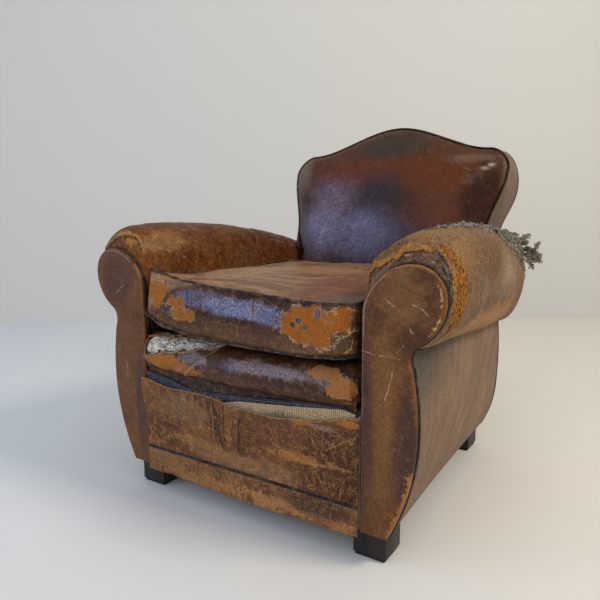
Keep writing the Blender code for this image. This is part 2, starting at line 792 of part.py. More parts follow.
def build_outside_back():
    half = rear_half()
    outer, inner = [], []
    for x, z in shifted(half, PIPING + 0.0012):
        columns = spread(-max(x, 0.004), max(x, 0.004), 9)
        outer.append([at(c, rear(z) + LEATHER / 2, z) for c in columns])
        inner.append([at(c, rear(z) - LEATHER / 2, z) for c in columns])
    slab("outside_back", outer, inner, "leather_outside")
    path = half + [(-x, z) for x, z in reversed(half[:-1])]
    cord = [at(x, rear(z), z) for x, z in shifted(path, 0.0004)]
    tube("rear_piping", cord, PIPING, "piping_black")


# ---------------------------------------------------------------- front border


def border_top(x):
    """The border's slack upper edge."""
    return 0.262 - 0.019 * bell(x, 0.075, 0.085) + 0.013 * max(0.0, (x - 0.12) / 0.15)


def band_top(x):
    return 0.2635 + 0.016 * bell(x, -0.27, 0.07) + 0.026 * max(0.0, (x + 0.05) / 0.31)


def build_border():
    columns = spread(-BORDER_HALF, BORDER_HALF, 22)
    front, back = [], []
    for level in spread(0.0, 1.0, 5):
        rows = ([], [])
        for x in columns:
            z = mix(BORDER_BOTTOM, border_top(x), level)
            swell = 0.006 * math.sin(math.pi * level) * math.cos(math.pi * x / 2 / BORDER_HALF)
            for row, face in zip(rows, (BORDER_FACE - LEATHER - swell, BORDER_FACE - swell)):
                row.append(at(x, face, z))
        front.append(rows[0])
        back.append(rows[1])
    slab("border_panel", front, back, "leather_brown")
    columns = spread(-0.266, 0.266, 20)
    bounds = [(band_top(x) - 0.017 - 0.003 * bell(x, 0.2, 0.1), band_top(x)) for x in columns]
    strip_between("border_band", columns, bounds, (0.0004, 0.0026), "cambric")
    columns = spread(-0.040, 0.262, 12)
    bounds = [(border_top(x) - 0.014, band_top(x) - 0.008) for x in columns]
    strip_between("border_hessian", columns, bounds, (-0.0014, -0.0001), "jute")
    columns = spread(-0.2600, 0.2600, 26)
    bounds = [(ragged(x), STRIP_TOP) for x in columns]
    strip_between("border_strip", columns, bounds, (-0.0048, -0.0018), "leather_brown")
    build_border_piping()


def ragged(x):
    """Frayed lower edge of the bottom strip."""
    wear = 0.0022 * noise.noise(Vector((x * 24, 1.7, 0.4)))
    return STRIP_BOTTOM - 0.005 * bell(x, 0.02, 0.12) + wear


def strip_between(name, columns, bounds, depths, finish):
    grids = []
    for depth in depths:
        low = [at(x, depth, b[0]) for x, b in zip(columns, bounds)]
        high = [at(x, depth, b[1]) for x, b in zip(columns, bounds)]
        grids.append([low, high])
    slab(name, grids[0], grids[1], finish)


def build_border_piping():
    """Double cord between the border and the bottom strip."""
    low = [(-0.0018, 0.1032), (-0.0042, 0.1032), (-0.0058, 0.1048), (-0.0042, 0.1066)]
    high = [(-0.0058, 0.1082), (-0.0042, 0.1098), (-0.0018, 0.1098)]
    prism("border_piping", low + high, "piping_black", x=(-0.2675, 0.2675))


def build_underside():
    """Black cloth under the seat, cut round the feet."""
    z = (0.0558, 0.0576)
    edge, rear_edge = 0.294, 0.6440
    front_foot = (FOOT_FRONT[0] - 0.002, FOOT_FRONT[1] + FOOT + 0.002)
    rear_foot = (FOOT_REAR[0] - 0.002, FOOT_REAR[1] - 0.002)
    right = [
        (front_foot[0], 0.004),
        (front_foot[0], front_foot[1]),
        (edge, front_foot[1]),
        (edge, rear_foot[1]),
        (rear_foot[0], rear_foot[1]),
        (rear_foot[0], rear_edge),
    ]
    prism("dust_cover", right + [(-x, d) for x, d in reversed(right)], "cambric", z=z)


def build_tuft():
    """Matted stuffing that hangs out of the right arm's torn rear end."""
    middle = at(0.358, 0.7918, 0.520)
    rings, sides = 11, 16
    points, faces = [], []
    for r in range(rings):
        polar = math.pi * (r + 0.5) / rings
        for s in range(sides):
            turn = 2 * math.pi * s / sides
            way = Vector((math.sin(polar) * math.cos(turn), math.sin(polar) * math.sin(turn), math.cos(polar)))
            lump = 1 + 0.35 * noise.noise(way * 2.6 + Vector((3.1, 0.2, 7.7)))
            points.append(middle + Vector((way.x * 0.044, way.y * 0.021, way.z * 0.034)) * lump)
    for r in range(rings - 1):
        for s in range(sides):
            t = (s + 1) % sides
            faces.append((r * sides + s, r * sides + t, (r + 1) * sides + t, (r + 1) * sides + s))
    faces.append(tuple(reversed(range(sides))))
    faces.append(tuple(range((rings - 1) * sides, rings * sides)))
    add_object("arm_tuft", points, faces, "wadding")


def main():
    for obj in list(bpy.data.objects):
        bpy.data.objects.remove(obj, do_unlink=True)
    build_frame()
    build_feet()
    build_webbing()
    build_springs()
    build_seat_layers()
    build_lip()
    build_cushion()
    build_arms()
    build_back()
    build_border()
    build_underside()
    build_tuft()


main()
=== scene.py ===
"""Worn leather club chair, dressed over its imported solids.

Metres, +Z up, the front faces -Y. Depths run back from the front faces of the arm facings.
"""

import logging
import math
from dataclasses import dataclass, field, replace
from enum import Enum

import bpy
import numpy as np
from mathutils import Matrix, Vector


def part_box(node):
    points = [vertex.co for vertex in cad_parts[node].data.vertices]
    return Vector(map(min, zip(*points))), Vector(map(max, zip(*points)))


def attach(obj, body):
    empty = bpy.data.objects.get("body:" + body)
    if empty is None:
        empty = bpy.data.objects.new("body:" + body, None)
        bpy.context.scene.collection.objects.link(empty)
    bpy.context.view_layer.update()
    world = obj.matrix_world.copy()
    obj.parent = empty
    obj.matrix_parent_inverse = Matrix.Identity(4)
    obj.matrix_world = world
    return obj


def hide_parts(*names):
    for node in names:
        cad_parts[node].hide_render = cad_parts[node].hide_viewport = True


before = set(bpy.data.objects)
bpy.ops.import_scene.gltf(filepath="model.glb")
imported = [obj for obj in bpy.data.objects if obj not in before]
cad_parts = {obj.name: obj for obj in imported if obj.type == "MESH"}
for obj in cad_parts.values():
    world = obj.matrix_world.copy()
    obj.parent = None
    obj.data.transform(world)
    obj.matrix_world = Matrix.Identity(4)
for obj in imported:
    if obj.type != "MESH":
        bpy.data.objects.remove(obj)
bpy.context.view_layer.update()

FRONT_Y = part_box("facing_cover_left")[0].y
LOG = logging.getLogger("club_chair")

# The noise's hash, its word, and how much finer each of its layers is.
HASH_PRIMES = (374761393, 668265263, 1440662683, 1274126177)
WORD = 0xFFFFFFFF
FINER = 2.03
# A length that counts as nothing, and how close points are that count as one.
TINY = 1e-12
DOUBLED = 1e-6
# How long stuffed leather swells, and its pressure.
SWELL_FRAMES = 20
SWELL_PRESSURE = 4.0
# Degrees between faces up to which a sheet, a pad and anything at all is shaded smooth.
SHEET_ANGLE, PAD_ANGLE, ANY_ANGLE = 60.0, 75.0, 180.0

Colour = tuple[float, float, float]
Triple = tuple[float, float, float]
Points = np.ndarray
Values = float | np.ndarray
Piece = bpy.types.Object
Finish = bpy.types.Material
Socket = bpy.types.NodeSocket
Feed = bpy.types.NodeSocket | float | tuple


class Side(Enum):
    """The chair's two sides, with the sign of their x."""

    LEFT = -1
    RIGHT = 1

    @property
    def label(self) -> str:
        """The side's name as the solids give it."""
        return self.name.lower()


class Layer(Enum):
    """How a patch of a leather's surface behaves."""

    STAIN = "stain"
    # A painted sheen: reflected light painted into the colour.
    BLOOM = "bloom"
    SUEDE = "suede"
    SKIN = "skin"


# --- numbers


def mix(a: Values, b: Values, t: Values) -> Values:
    """The value a share t of the way from a to b."""
    return a + (b - a) * t


def unit(count: int) -> Points:
    """Evenly spaced numbers from 0 to 1."""
    return np.linspace(0.0, 1.0, count)


def bell(value: Values, centre: float, width: float) -> Values:
    """A bell curve of height 1 about a centre."""
    return np.exp(-(((value - centre) / width) ** 2))


def ease(low: float, high: float, value: Values) -> Values:
    """A smooth step from 0 at low to 1 at high."""
    t = np.clip((value - low) / (high - low), 0.0, 1.0)
    return t * t * (3 - 2 * t)


def read_table(table: tuple, value: Values) -> Values:
    """The value at a place between the pairs of a table."""
    return np.interp(value, *zip(*table))


def soft_line(table: tuple, x: Points, reach: float, count: int) -> Points:
    """A table's line at x, eased over a reach to either side."""
    return np.mean([read_table(table, x + step) for step in np.linspace(-reach, reach, count)], 0)


def bezier(ends: list, count: int) -> Points:
    """Points of a Bezier curve of any degree.

    Args:
        ends: The curve's control points.
        count: How many points to give.

    Returns:
        The points, one a row.
    """
    t = unit(count)[:, None]
    level = [np.array(end, float)[None, :] for end in ends]
    while len(level) > 1:
        level = [a * (1 - t) + b * t for a, b in zip(level, level[1:])]
    return level[0]


def lattice(i: Points, j: Points, k: Points, seed: int) -> Points:
    """A repeatable value from -1 to 1 for each cell of a lattice.

    Args:
        i: Cells along x.
        j: Cells along y.
        k: Cells along z.
        seed: Which pattern to give.

    Returns:
        One value a cell.
    """
    a, b, c, d = HASH_PRIMES
    h = (i * a + j * b + k * c + seed * d) & WORD
    h = ((h ^ (h >> 13)) * d) & WORD
    return ((h ^ (h >> 16)) & 0xFFFFFF) / 0x7FFFFF - 1.0


def ripple(points: Points, scale: float | tuple, seed: int, octaves: int = 3) -> Points:
    """Smooth noise from about -1 to 1 at each point.

    Args:
        points: Places, one a row.
        scale: Cells a metre, one number or three.
        seed: Which pattern to give.
        octaves: How many finer layers are added.

    Returns:
        One value a point.
    """
    total, size = np.zeros(len(points)), 1.0
    spots = points * np.asarray(scale, float) + 37.0
    for octave in range(octaves):
        cell = np.floor(spots).astype(np.int64)
        f = spots - cell
        f = f * f * (3 - 2 * f)
        value = np.zeros(len(points))
        for corner in range(8):
            bit = np.array([corner & 1, corner >> 1 & 1, corner >> 2 & 1])
            weight = np.prod(np.where(bit, f, 1 - f), axis=1)
            i, j, k = (cell + bit).T
            value += weight * lattice(i, j, k, seed + octave)
        total += value * size
        spots = spots * FINER
        size *= 0.5
    return total


# --- the chair's lines


@dataclass(frozen=True)
class Lines:
    """The lines that the chair's pieces share."""

    facing_inner: float = 0.2706
    facing_bottom: float = 0.057
    head_centre: tuple = (0.3451, 0.4775)
    head_radius: float = 0.0745
    head_tilt: float = math.radians(12.2)
    neck: tuple = ((0.3606, 0.383), (0.3575, 0.4085), (0.3735, 0.416))
    belly_front: tuple = (0.3755, 0.265, 1.22, 0.96)
    belly_rear: tuple = (0.333, 0.18, 2.2, 0.62)
    side_bottom: float = 0.058
    arm_start: float = 0.015
    arm_end: float = 0.745
    lean: float = 0.35
    back_front_at_arm: float = 0.67
    arm_level: float = 0.6
    rear_bottom: float = 0.65
    rear_bend: float = 0.17
    rear_soft: float = 0.04
    rear_tuck: float = 0.0045

    def back_front(self, z: Values) -> Values:
        """Depth of the back's front edge at height z."""
        return self.back_front_at_arm + self.lean * (z - self.arm_level)

    def rear(self, z: Values) -> Values:
        """Depth of the chair's rear face at height z."""
        above = z - self.rear_bend
        return self.rear_bottom + self.lean * (above + np.hypot(above, self.rear_soft)) / 2

    def side_x(self, z: Values, t: Values) -> Values:
        """Half-width of the outside arm at height z, a share t of the way to the rear."""
        x, middle, below, above = (mix(a, b, t) for a, b in zip(self.belly_front, self.belly_rear))
        return x - np.where(z < middle, below, above) * (z - middle) ** 2

    def facing_outline(self, fine: int) -> Points:
        """The right-hand facing's outline.

        Args:
            fine: How finely its curves are divided.

        Returns:
            Points (x, z), counterclockwise from the inner bottom corner.
        """
        z = np.linspace(self.facing_bottom, 0.383, 14 * fine)[:-1]
        belly = np.stack([self.side_x(z, 0.0), z], 1)
        neck = bezier(self.neck, 4 * fine)
        a = np.radians(np.linspace(-60, 180, 22 * fine))
        head = np.stack(
            [
                self.head_centre[0] + self.head_radius * np.cos(a),
                self.head_centre[1] + self.head_radius * np.sin(a + self.head_tilt)
            ],
            1
        )
        inner = np.linspace(head[-1], (self.facing_inner, self.facing_bottom), 16 * fine)
        low = np.linspace((self.facing_inner, self.facing_bottom), belly[0], 4 * fine)
        return np.concatenate([belly, neck, head, inner[1:-1], low[:-1]])


LINES = Lines()
BACK_CURVES = (
    (
        ((0.285, 0.53), (0.285, 0.62), (0.325, 0.665), (0.327, 0.735)),
        ((0.285, 0.53), (0.29, 0.61), (0.324, 0.63), (0.3235, 0.69))
    ),
    (
        ((0.327, 0.735), (0.327, 0.757), (0.305, 0.785), (0.275, 0.79)),
        ((0.3235, 0.69), (0.323, 0.735), (0.3, 0.785), (0.262, 0.7905))
    ),
    (
        ((0.275, 0.79), (0.185, 0.79), (0.095, 0.8605), (0.0, 0.8605)),
        ((0.262, 0.7905), (0.185, 0.79), (0.092, 0.857), (0.0, 0.857))
    )
)
BEHIND_ARM = ((0.3165, 0.345), (0.323, 0.4), (0.322, 0.46), (0.292, 0.49), (0.285, 0.53))


def back_half(share: float, fine: int = 4) -> Points:
    """Right-hand half of the back's outline from the arm up to the crest.

    Args:
        share: 0 for its front edge, 1 for its rear edge.
        fine: How finely each curve is divided.

    Returns:
        Points (x, z).
    """
    runs = []
    for (front, behind), count in zip(BACK_CURVES, (9, 7, 10)):
        ends = [mix(np.array(a), np.array(b), share) for a, b in zip(front, behind)]
        run = bezier(ends, count * fine)
        runs.append(run if not runs else run[1:])
    return np.concatenate(runs)


def inset(loop: Points, distance: float) -> Points:
    """A closed counterclockwise loop of (x, z) points moved inwards.

    Args:
        loop: The loop.
        distance: How far it moves.

    Returns:
        The moved loop.
    """
    ahead = np.roll(loop, -1, 0) - loop
    ahead /= np.linalg.norm(ahead, axis=1)[:, None] + TINY
    turn = ahead + np.roll(ahead, 1, 0)
    left = np.stack([-turn[:, 1], turn[:, 0]], 1)
    length = np.linalg.norm(left, axis=1)[:, None]
    return loop + left / length / np.maximum(0.5, length / 2) * distance


def shifted(path: Points, distance: float) -> Points:
    """An open (x, z) path that runs counterclockwise, moved inwards.

    Args:
        path: The path.
        distance: How far it moves.

    Returns:
        The moved path.
    """
    ahead = np.gradient(path, axis=0)
    ahead /= np.linalg.norm(ahead, axis=1)[:, None]
    return path + np.stack([-ahead[:, 1], ahead[:, 0]], 1) * distance


def at(x: Values, depth: Values, z: Values) -> Points:
    """Places in the chair's frame from half-widths, depths and heights."""
    x, depth, z = np.broadcast_arrays(x, depth, z)
    return np.stack([x, FRONT_Y + depth, z], -1).astype(float)


@dataclass(frozen=True)
class Roll:
    """The section of one arm's padded roll along its depth."""

    side: Side
    top: float = 0.604
    top_at: float = 0.16
    swell: float = 0.015
    drop: dict = field(default_factory=lambda: {Side.LEFT: 0.29, Side.RIGHT: 0.12})

    def ellipse(self, depth: Points) -> tuple:
        """Centre, half sizes and tilt of the roll at some depths.

        Args:
            depth: Depths behind the facings.

        Returns:
            Centre x and z, half sizes in x and z, tilt and the inner wall's half-width.
        """
        swell = 1 - np.exp(-(depth - LINES.arm_start) / self.swell)
        t = (depth - LINES.arm_start) / (LINES.arm_end - LINES.arm_start)
        top = self.top - self.drop[self.side] * np.maximum(0.0, depth - self.top_at) ** 2
        top = mix(LINES.head_centre[1] + LINES.head_radius + 0.003, top, swell)
        bottom = mix(0.402, 0.335, t)
        outer = mix(0.428, 0.374, np.maximum(0.0, (depth - 0.1) / (LINES.arm_end - 0.1)))
        outer = mix(LINES.head_centre[0] + LINES.head_radius, outer, swell)
        inner = mix(LINES.facing_inner, 0.266, swell)
        behind = 1 - np.exp(-np.maximum(0.0, depth - 0.03) / self.swell)
        wall = mix(LINES.facing_inner, 0.2675, behind)
        tilt = mix(LINES.head_tilt, 0.0, mix(swell * 0.5, 1.0, t))
        return (
            (inner + outer) / 2, (bottom + top) / 2, (outer - inner) / 2, (top - bottom) / 2, tilt,
            wall, t
        )

    def over(self, depth: Values, x: Values) -> Values:
        """Height of the roll's upper side at x.

        Args:
            depth: Depths behind the facings.
            x: Half-widths.

        Returns:
            The heights.
        """
        cx, cz, sx, sz, _, _, _ = self.ellipse(np.asarray(depth, float))
        share = np.clip((x - cx) / sx, -1.0, 1.0)
        return cz + sz * np.sqrt(1 - share**2)

    def panel_x(self, depth: Values) -> Values:
        """Half-width of the outside arm where the roll's underside meets it."""
        _, cz, _, sz, _, _, t = self.ellipse(depth)
        return LINES.side_x(cz - sz * 0.96, t)

    def panel_top(self, depth: Values) -> Values:
        """Height of the outside arm's upper edge.

        Args:
            depth: Depths behind the facings.

        Returns:
            The heights.
        """
        heights = []
        cx, cz, sx, sz, tilt, _, _ = self.ellipse(depth)
        for x in (self.panel_x(depth), self.panel_x(depth) - 0.004):
            a = -np.arccos(np.clip((x - cx) / sx, -1.0, 1.0))
            heights.append(cz + sz * np.sin(a + tilt))
        return np.minimum(*heights) - 0.0015


# --- making meshes


def deselect() -> None:
    """Leaves nothing selected."""
    if bpy.context.object and bpy.context.object.mode != "OBJECT":
        bpy.ops.object.mode_set(mode="OBJECT")
    bpy.ops.object.select_all(action="DESELECT")


def pick(piece: Piece) -> None:
    """Makes a piece the only one selected.

    Args:
        piece: The piece.
    """
    deselect()
    piece.select_set(True)
    bpy.context.view_layer.objects.active = piece


def coords(piece: Piece) -> Points:
    """A mesh's vertices, one a row.

    Args:
        piece: The piece.

    Returns:
        The vertices' places.
    """
    flat = np.empty(len(piece.data.vertices) * 3)
    piece.data.vertices.foreach_get("co", flat)
    return flat.reshape(-1, 3)


def put(piece: Piece, places: Points) -> None:
    """Moves a mesh's vertices to places."""
    piece.data.vertices.foreach_set("co", np.ascontiguousarray(places, float).ravel())
    piece.data.update()


def normals(piece: Piece) -> Points:
    """A mesh's vertex normals, one a row.

    Args:
        piece: The piece.

    Returns:
        The normals.
    """
    flat = np.empty(len(piece.data.vertices) * 3)
    piece.data.vertex_normals.foreach_get("vector", flat)
    return flat.reshape(-1, 3)


def push(piece: Piece, amount: Points) -> None:
    """Moves each vertex out along its normal."""
    put(piece, coords(piece) + normals(piece) * np.asarray(amount)[:, None])


def paint(piece: Piece, name: str, values: Points) -> None:
    """Writes one number a vertex that a material can read."""
    layer = piece.data.attributes.new(name, "FLOAT", "POINT")
    layer.data.foreach_set("value", np.asarray(values, np.float32).ravel())


def apply(piece: Piece, kind: str, **settings) -> None:
    """Adds a modifier to a piece and applies it.

    Args:
        piece: The piece to change.
        kind: The modifier's type.
        **settings: The modifier's own settings.
    """
    pick(piece)
    modifier = piece.modifiers.new(kind.lower(), kind)
    for key, value in settings.items():
        setattr(modifier, key, value)
    bpy.ops.object.modifier_apply(modifier=modifier.name)


def shade(piece: Piece, degrees: float = SHEET_ANGLE) -> None:
    """Smooths a piece's shading where its faces meet gently."""
    pick(piece)
    bpy.ops.object.shade_smooth_by_angle(angle=math.radians(degrees))


def laid_grid(
    name: str, points: Points, wrap: bool = False, ends: bool = False, layers: dict | None = None
) -> Piece:
    """A grid primitive laid over rows of points.

    Args:
        name: The piece's name.
        points: Places by row and column.
        wrap: Whether the last column meets the first.
        ends: Whether the first and last row are filled.
        layers: Numbers by row and column that a material can read, by name.

    Returns:
        The new piece, its normals outwards where it is closed.
    """
    layers = layers or {}
    if wrap:
        points = np.concatenate([points, points[:, :1]], 1)
        layers = {key: np.concatenate([v, v[:, :1]], 1) for key, v in layers.items()}
    rows, columns = points.shape[:2]
    deselect()
    bpy.ops.mesh.primitive_grid_add(x_subdivisions=columns - 1, y_subdivisions=rows - 1, size=1.0)
    piece = bpy.context.object
    piece.name = piece.data.name = name
    plan = coords(piece) + 0.5
    row = np.rint(plan[:, 1] * (rows - 1)).astype(int)
    column = np.rint(plan[:, 0] * (columns - 1)).astype(int)
    put(piece, points[row, column])
    for key, values in layers.items():
        paint(piece, key, values[row, column])
    if wrap or ends:
        bpy.ops.object.mode_set(mode="EDIT")
        bpy.ops.mesh.select_all(action="SELECT")
        bpy.ops.mesh.remove_doubles(threshold=DOUBLED)
        if ends:
            bpy.ops.mesh.select_all(action="SELECT")
            bpy.ops.mesh.fill_holes(sides=0)
            bpy.ops.mesh.select_all(action="SELECT")
            bpy.ops.mesh.normals_make_consistent(inside=False)
        bpy.ops.object.mode_set(mode="OBJECT")
    return piece


def rings_along(
    path: Points, radius: Values, sides: int, lean: Triple, closed: bool = False
) -> list:
    """Rings of points round a path that don't twist as they go.

    Args:
        path: Places along its middle.
        radius: One radius, or one for each place.
        sides: How many points go round it.
        lean: Which way the first ring is turned.
        closed: Whether the path's end meets its start.

    Returns:
        The rings, one for each place.
    """
    ahead = np.roll(path, -1, 0) - np.roll(path, 1, 0) if closed else np.gradient(path, axis=0)
    ahead = ahead / (np.linalg.norm(ahead, axis=1)[:, None] + TINY)
    side = np.cross(ahead[0], lean)
    a = np.linspace(0, 2 * math.pi, sides, endpoint=False)[:, None]
    rings = []
    for point, way, size in zip(path, ahead, np.broadcast_to(radius, (len(path),))):
        side = side - way * side.dot(way)
        side = side / (np.linalg.norm(side) + TINY)
        rings.append(point + size * (np.cos(a) * side + np.sin(a) * np.cross(way, side)))
    return rings


def swept(name: str, path: Points, radius: Values, closed: bool = False, sides: int = 10) -> Piece:
    """A round cord laid along a path.

    Args:
        name: The piece's name.
        path: Places along its middle.
        radius: One radius, or one for each place.
        closed: Whether its end meets its start.
        sides: How many faces go round it.

    Returns:
        The new piece.
    """
    rings = np.array(rings_along(path, radius, sides, (0.31, 0.17, 0.93), closed))
    if closed:
        rings = np.concatenate([rings, rings[:1]])
    piece = laid_grid(name, rings, wrap=True, ends=not closed)
    pick(piece)
    bpy.ops.object.mode_set(mode="EDIT")
    bpy.ops.mesh.select_all(action="SELECT")
    bpy.ops.mesh.normals_make_consistent(inside=False)
    bpy.ops.object.mode_set(mode="OBJECT")
    shade(piece)
    return piece


def joined(name: str, pieces: list) -> Piece:
    """Several meshes made one piece.

    Args:
        name: The new piece's name.
        pieces: The meshes, which it takes in.

    Returns:
        The new piece.
    """
    deselect()
    for piece in pieces:
        piece.select_set(True)
    bpy.context.view_layer.objects.active = pieces[0]
    bpy.ops.object.join()
    whole = bpy.context.object
    whole.name = whole.data.name = name
    return whole


def solid_sheet(piece: Piece, thickness: float) -> None:
    """Gives a sheet its thickness, inwards from its face, and smooths it."""
    apply(piece, "SOLIDIFY", thickness=thickness, offset=-1.0)
    shade(piece)


LEATHER_CLOTH = {
    "quality": 4, "mass": 0.35, "tension_stiffness": 25, "compression_stiffness": 12,
    "shear_stiffness": 12, "bending_stiffness": 4, "use_pressure": True,
    "uniform_pressure_force": SWELL_PRESSURE, "vertex_group_mass": "held"
}


def cloth_swell(piece: Piece, held: Points, cap: float) -> None:
    """Swells a closed case as stuffed leather, by cloth simulation.

    Args:
        piece: The closed mesh.
        held: How firmly each vertex stays, from 0 to 1.
        cap: The furthest that a point may move, in metres.
    """
    before = coords(piece)
    group = piece.vertex_groups.new(name="held")
    for level in np.unique(np.round(held, 1)):
        chosen = np.nonzero(np.round(held, 1) == level)[0]
        group.add([int(i) for i in chosen], float(level), "REPLACE")
    pick(piece)
    cloth = piece.modifiers.new("swell", "CLOTH")
    for key, value in LEATHER_CLOTH.items():
        setattr(cloth.settings, key, value)
    cloth.settings.effector_weights.gravity = 0.0
    cloth.collision_settings.use_collision = False
    scene = bpy.context.scene
    for number in range(SWELL_FRAMES):
        scene.frame_set(number + 1)
    bpy.ops.object.modifier_apply(modifier=cloth.name)
    scene.frame_set(1)
    moved = coords(piece) - before
    length = np.linalg.norm(moved, axis=1)
    share = np.minimum(1.0, cap / np.maximum(length, TINY))
    put(piece, before + moved * share[:, None])
    piece.vertex_groups.clear()


# --- finishes


class Graph:
    """A material's node graph, built in words."""

    def __init__(self, name: str) -> None:
        """Starts a material of this name with one shader.

        Args:
            name: The material's name.
        """
        self.material = bpy.data.materials.new(name)
        self.material.use_nodes = True
        self.tree = self.material.node_tree
        self.shader = self.tree.nodes["Principled BSDF"]
        self.place = self.node("ShaderNodeTexCoord").outputs["Object"]

    def node(self, kind: str, **settings) -> bpy.types.Node:
        """A new node with some of its settings set.

        Args:
            kind: The node's type.
            **settings: Its settings, by name.

        Returns:
            The node.
        """
        made = self.tree.nodes.new(kind)
        for key, value in settings.items():
            setattr(made, key, value)
        return made

    def feed(self, socket: Socket, value: Feed) -> None:
        """Links a socket into another, or sets a plain value on it.

        Args:
            socket: The socket to feed.
            value: Another socket, a number or a colour.
        """
        if isinstance(value, bpy.types.NodeSocket):
            self.tree.links.new(value, socket)
        elif isinstance(value, tuple) and len(value) == 3 and socket.type == "RGBA":
            socket.default_value = (*value, 1.0)
        else:
            socket.default_value = value

    def fill(self, node: bpy.types.Node, **values) -> bpy.types.Node:
        """Feeds a node's sockets by name, with underscores for spaces.

        Args:
            node: The node.
            **values: What each socket is fed.

        Returns:
            The node.
        """
        for name, value in values.items():
            self.feed(node.inputs[name.replace("_", " ")], value)
        return node

    def sum(self, kind: str, *values, clamp: bool = False) -> Socket:
        """A Math node's result.

        Args:
            kind: The operation.
            *values: What it is fed.
            clamp: Whether it is held from 0 to 1.

        Returns:
            The result's socket.
        """
        made = self.node("ShaderNodeMath", operation=kind, use_clamp=clamp)
        for socket, value in zip(made.inputs, values):
            self.feed(socket, value)
        return made.outputs[0]

    def times(self, a: Feed, b: Feed) -> Socket:
        """One number times another."""
        return self.sum("MULTIPLY", a, b)

    def less(self, a: Feed, b: Feed) -> Socket:
        """One number less another."""
        return self.sum("SUBTRACT", a, b)

    def along(self, kind: str, *values, scalar: bool = False) -> Socket:
        """A Vector Math node's result.

        Args:
            kind: The operation.
            *values: What it is fed.
            scalar: Whether it gives a number.

        Returns:
            The result's socket.
        """
        made = self.node("ShaderNodeVectorMath", operation=kind)
        vectors = [s for s in made.inputs if s.type == "VECTOR"]
        for socket, value in zip(vectors, values):
            self.feed(socket, value)
        return made.outputs["Value" if scalar else "Vector"]

    def scaled(self, vector: Feed, share: Feed) -> Socket:
        """A vector made longer or shorter.

        Args:
            vector: The vector.
            share: How much of its length is kept.

        Returns:
            The vector's socket.
        """
        made = self.node("ShaderNodeVectorMath", operation="SCALE")
        self.feed(made.inputs[0], vector)
        return self.fill(made, Scale=share).outputs["Vector"]

    def stretched(self, factors: Triple) -> Socket:
        """The piece's own coordinates, scaled along each axis."""
        return self.along("MULTIPLY", self.place, factors)

    def parts(self) -> tuple:
        """The x, y and z of the piece's own coordinates."""
        made = self.node("ShaderNodeSeparateXYZ")
        self.feed(made.inputs[0], self.place)
        return tuple(made.outputs)

    def noise(
        self, scale: float, detail: float = 4.0, rough: float = 0.55, bend: float = 0.0,
        at: Socket | None = None
    ) -> Socket:
        """Noise from 0 to 1.

        Args:
            scale: Cells a metre.
            detail: How many finer layers.
            rough: How strong the finer layers are.
            bend: How far it is twisted.
            at: Where it is read, the piece's own coordinates when left out.

        Returns:
            The noise's socket.
        """
        made = self.fill(
            self.node("ShaderNodeTexNoise"), Vector=at or self.place, Scale=scale, Detail=detail,
            Roughness=rough, Distortion=bend
        )
        return made.outputs[0]

    def bent(self, scale: float, detail: float, reach: float) -> Socket:
        """The piece's own coordinates, bent by noise.

        Args:
            scale: The bends a metre.
            detail: How many finer layers the noise has.
            reach: How far they bend, in metres.

        Returns:
            The coordinates' socket.
        """
        bend = self.node("ShaderNodeTexNoise")
        self.fill(bend, Vector=self.place, Scale=scale, Detail=detail)
        away = self.along("SUBTRACT", bend.outputs["Color"], (0.5, 0.5, 0.5))
        return self.along("ADD", self.place, self.scaled(away, reach))

    def cells(self, scale: float, feature: str = "F1", at: Socket | None = None) -> Socket:
        """Distance in a Voronoi pattern."""
        made = self.node("ShaderNodeTexVoronoi", feature=feature)
        return self.fill(made, Vector=at or self.place, Scale=scale).outputs["Distance"]

    def step(self, value: Feed, low: float, high: float, top: float = 1.0) -> Socket:
        """A smooth step from 0 at low to top at high.

        Args:
            value: What is read.
            low: Where it starts.
            high: Where it ends, below low for a falling step.
            top: How high it goes.

        Returns:
            The step's socket.
        """
        made = self.node("ShaderNodeMapRange", interpolation_type="SMOOTHSTEP")
        self.fill(made, Value=value, From_Min=min(low, high), From_Max=max(low, high))
        ends = (0.0, top) if low < high else (top, 0.0)
        return self.fill(made, To_Min=ends[0], To_Max=ends[1]).outputs[0]

    def mixed(self, data: str, first: int, share: Feed, a: Feed, b: Feed, **settings) -> Socket:
        """A Mix node's result, its two values fed from a given socket on.

        Args:
            data: The node's data type.
            first: The first value's socket.
            share: The share of the second value.
            a: The first value.
            b: The second value.
            **settings: The node's other settings.

        Returns:
            The result's socket.
        """
        made = self.node("ShaderNodeMix", data_type=data, **settings)
        for number, value in ((0, share), (first, a), (first + 1, b)):
            self.feed(made.inputs[number], value)
        return made.outputs[0 if data == "FLOAT" else 2]

    def blend(self, share: Feed, a: Feed, b: Feed, kind: str = "MIX") -> Socket:
        """Two colours mixed by a share."""
        return self.mixed("RGBA", 6, share, a, b, blend_type=kind)

    def level(self, share: Feed, a: Feed, b: Feed) -> Socket:
        """Two numbers mixed by a share."""
        return self.mixed("FLOAT", 2, share, a, b)

    def nearness(self, centre: Triple, radii: Triple) -> Socket:
        """1 at a place, falling to 0 on an ellipsoid about it and below 0 outside."""
        away = self.along("DIVIDE", self.along("SUBTRACT", self.place, centre), radii)
        return self.less(1.0, self.along("LENGTH", away, scalar=True))

    def stroke(self, start: Triple, end: Triple, bent: Socket) -> Socket:
        """Distance from a straight line between two places.

        Args:
            start: One end of the line.
            end: The other end.
            bent: The coordinates that it is read at.

        Returns:
            The distance's socket.
        """
        way = Vector(end) - Vector(start)
        away = self.along("SUBTRACT", bent, start)
        dot = self.along("DOT_PRODUCT", away, tuple(way / way.length_squared), scalar=True)
        share = self.sum("ADD", dot, 0.0, clamp=True)
        left = self.along("SUBTRACT", away, self.scaled(tuple(way), share))
        return self.along("LENGTH", left, scalar=True)

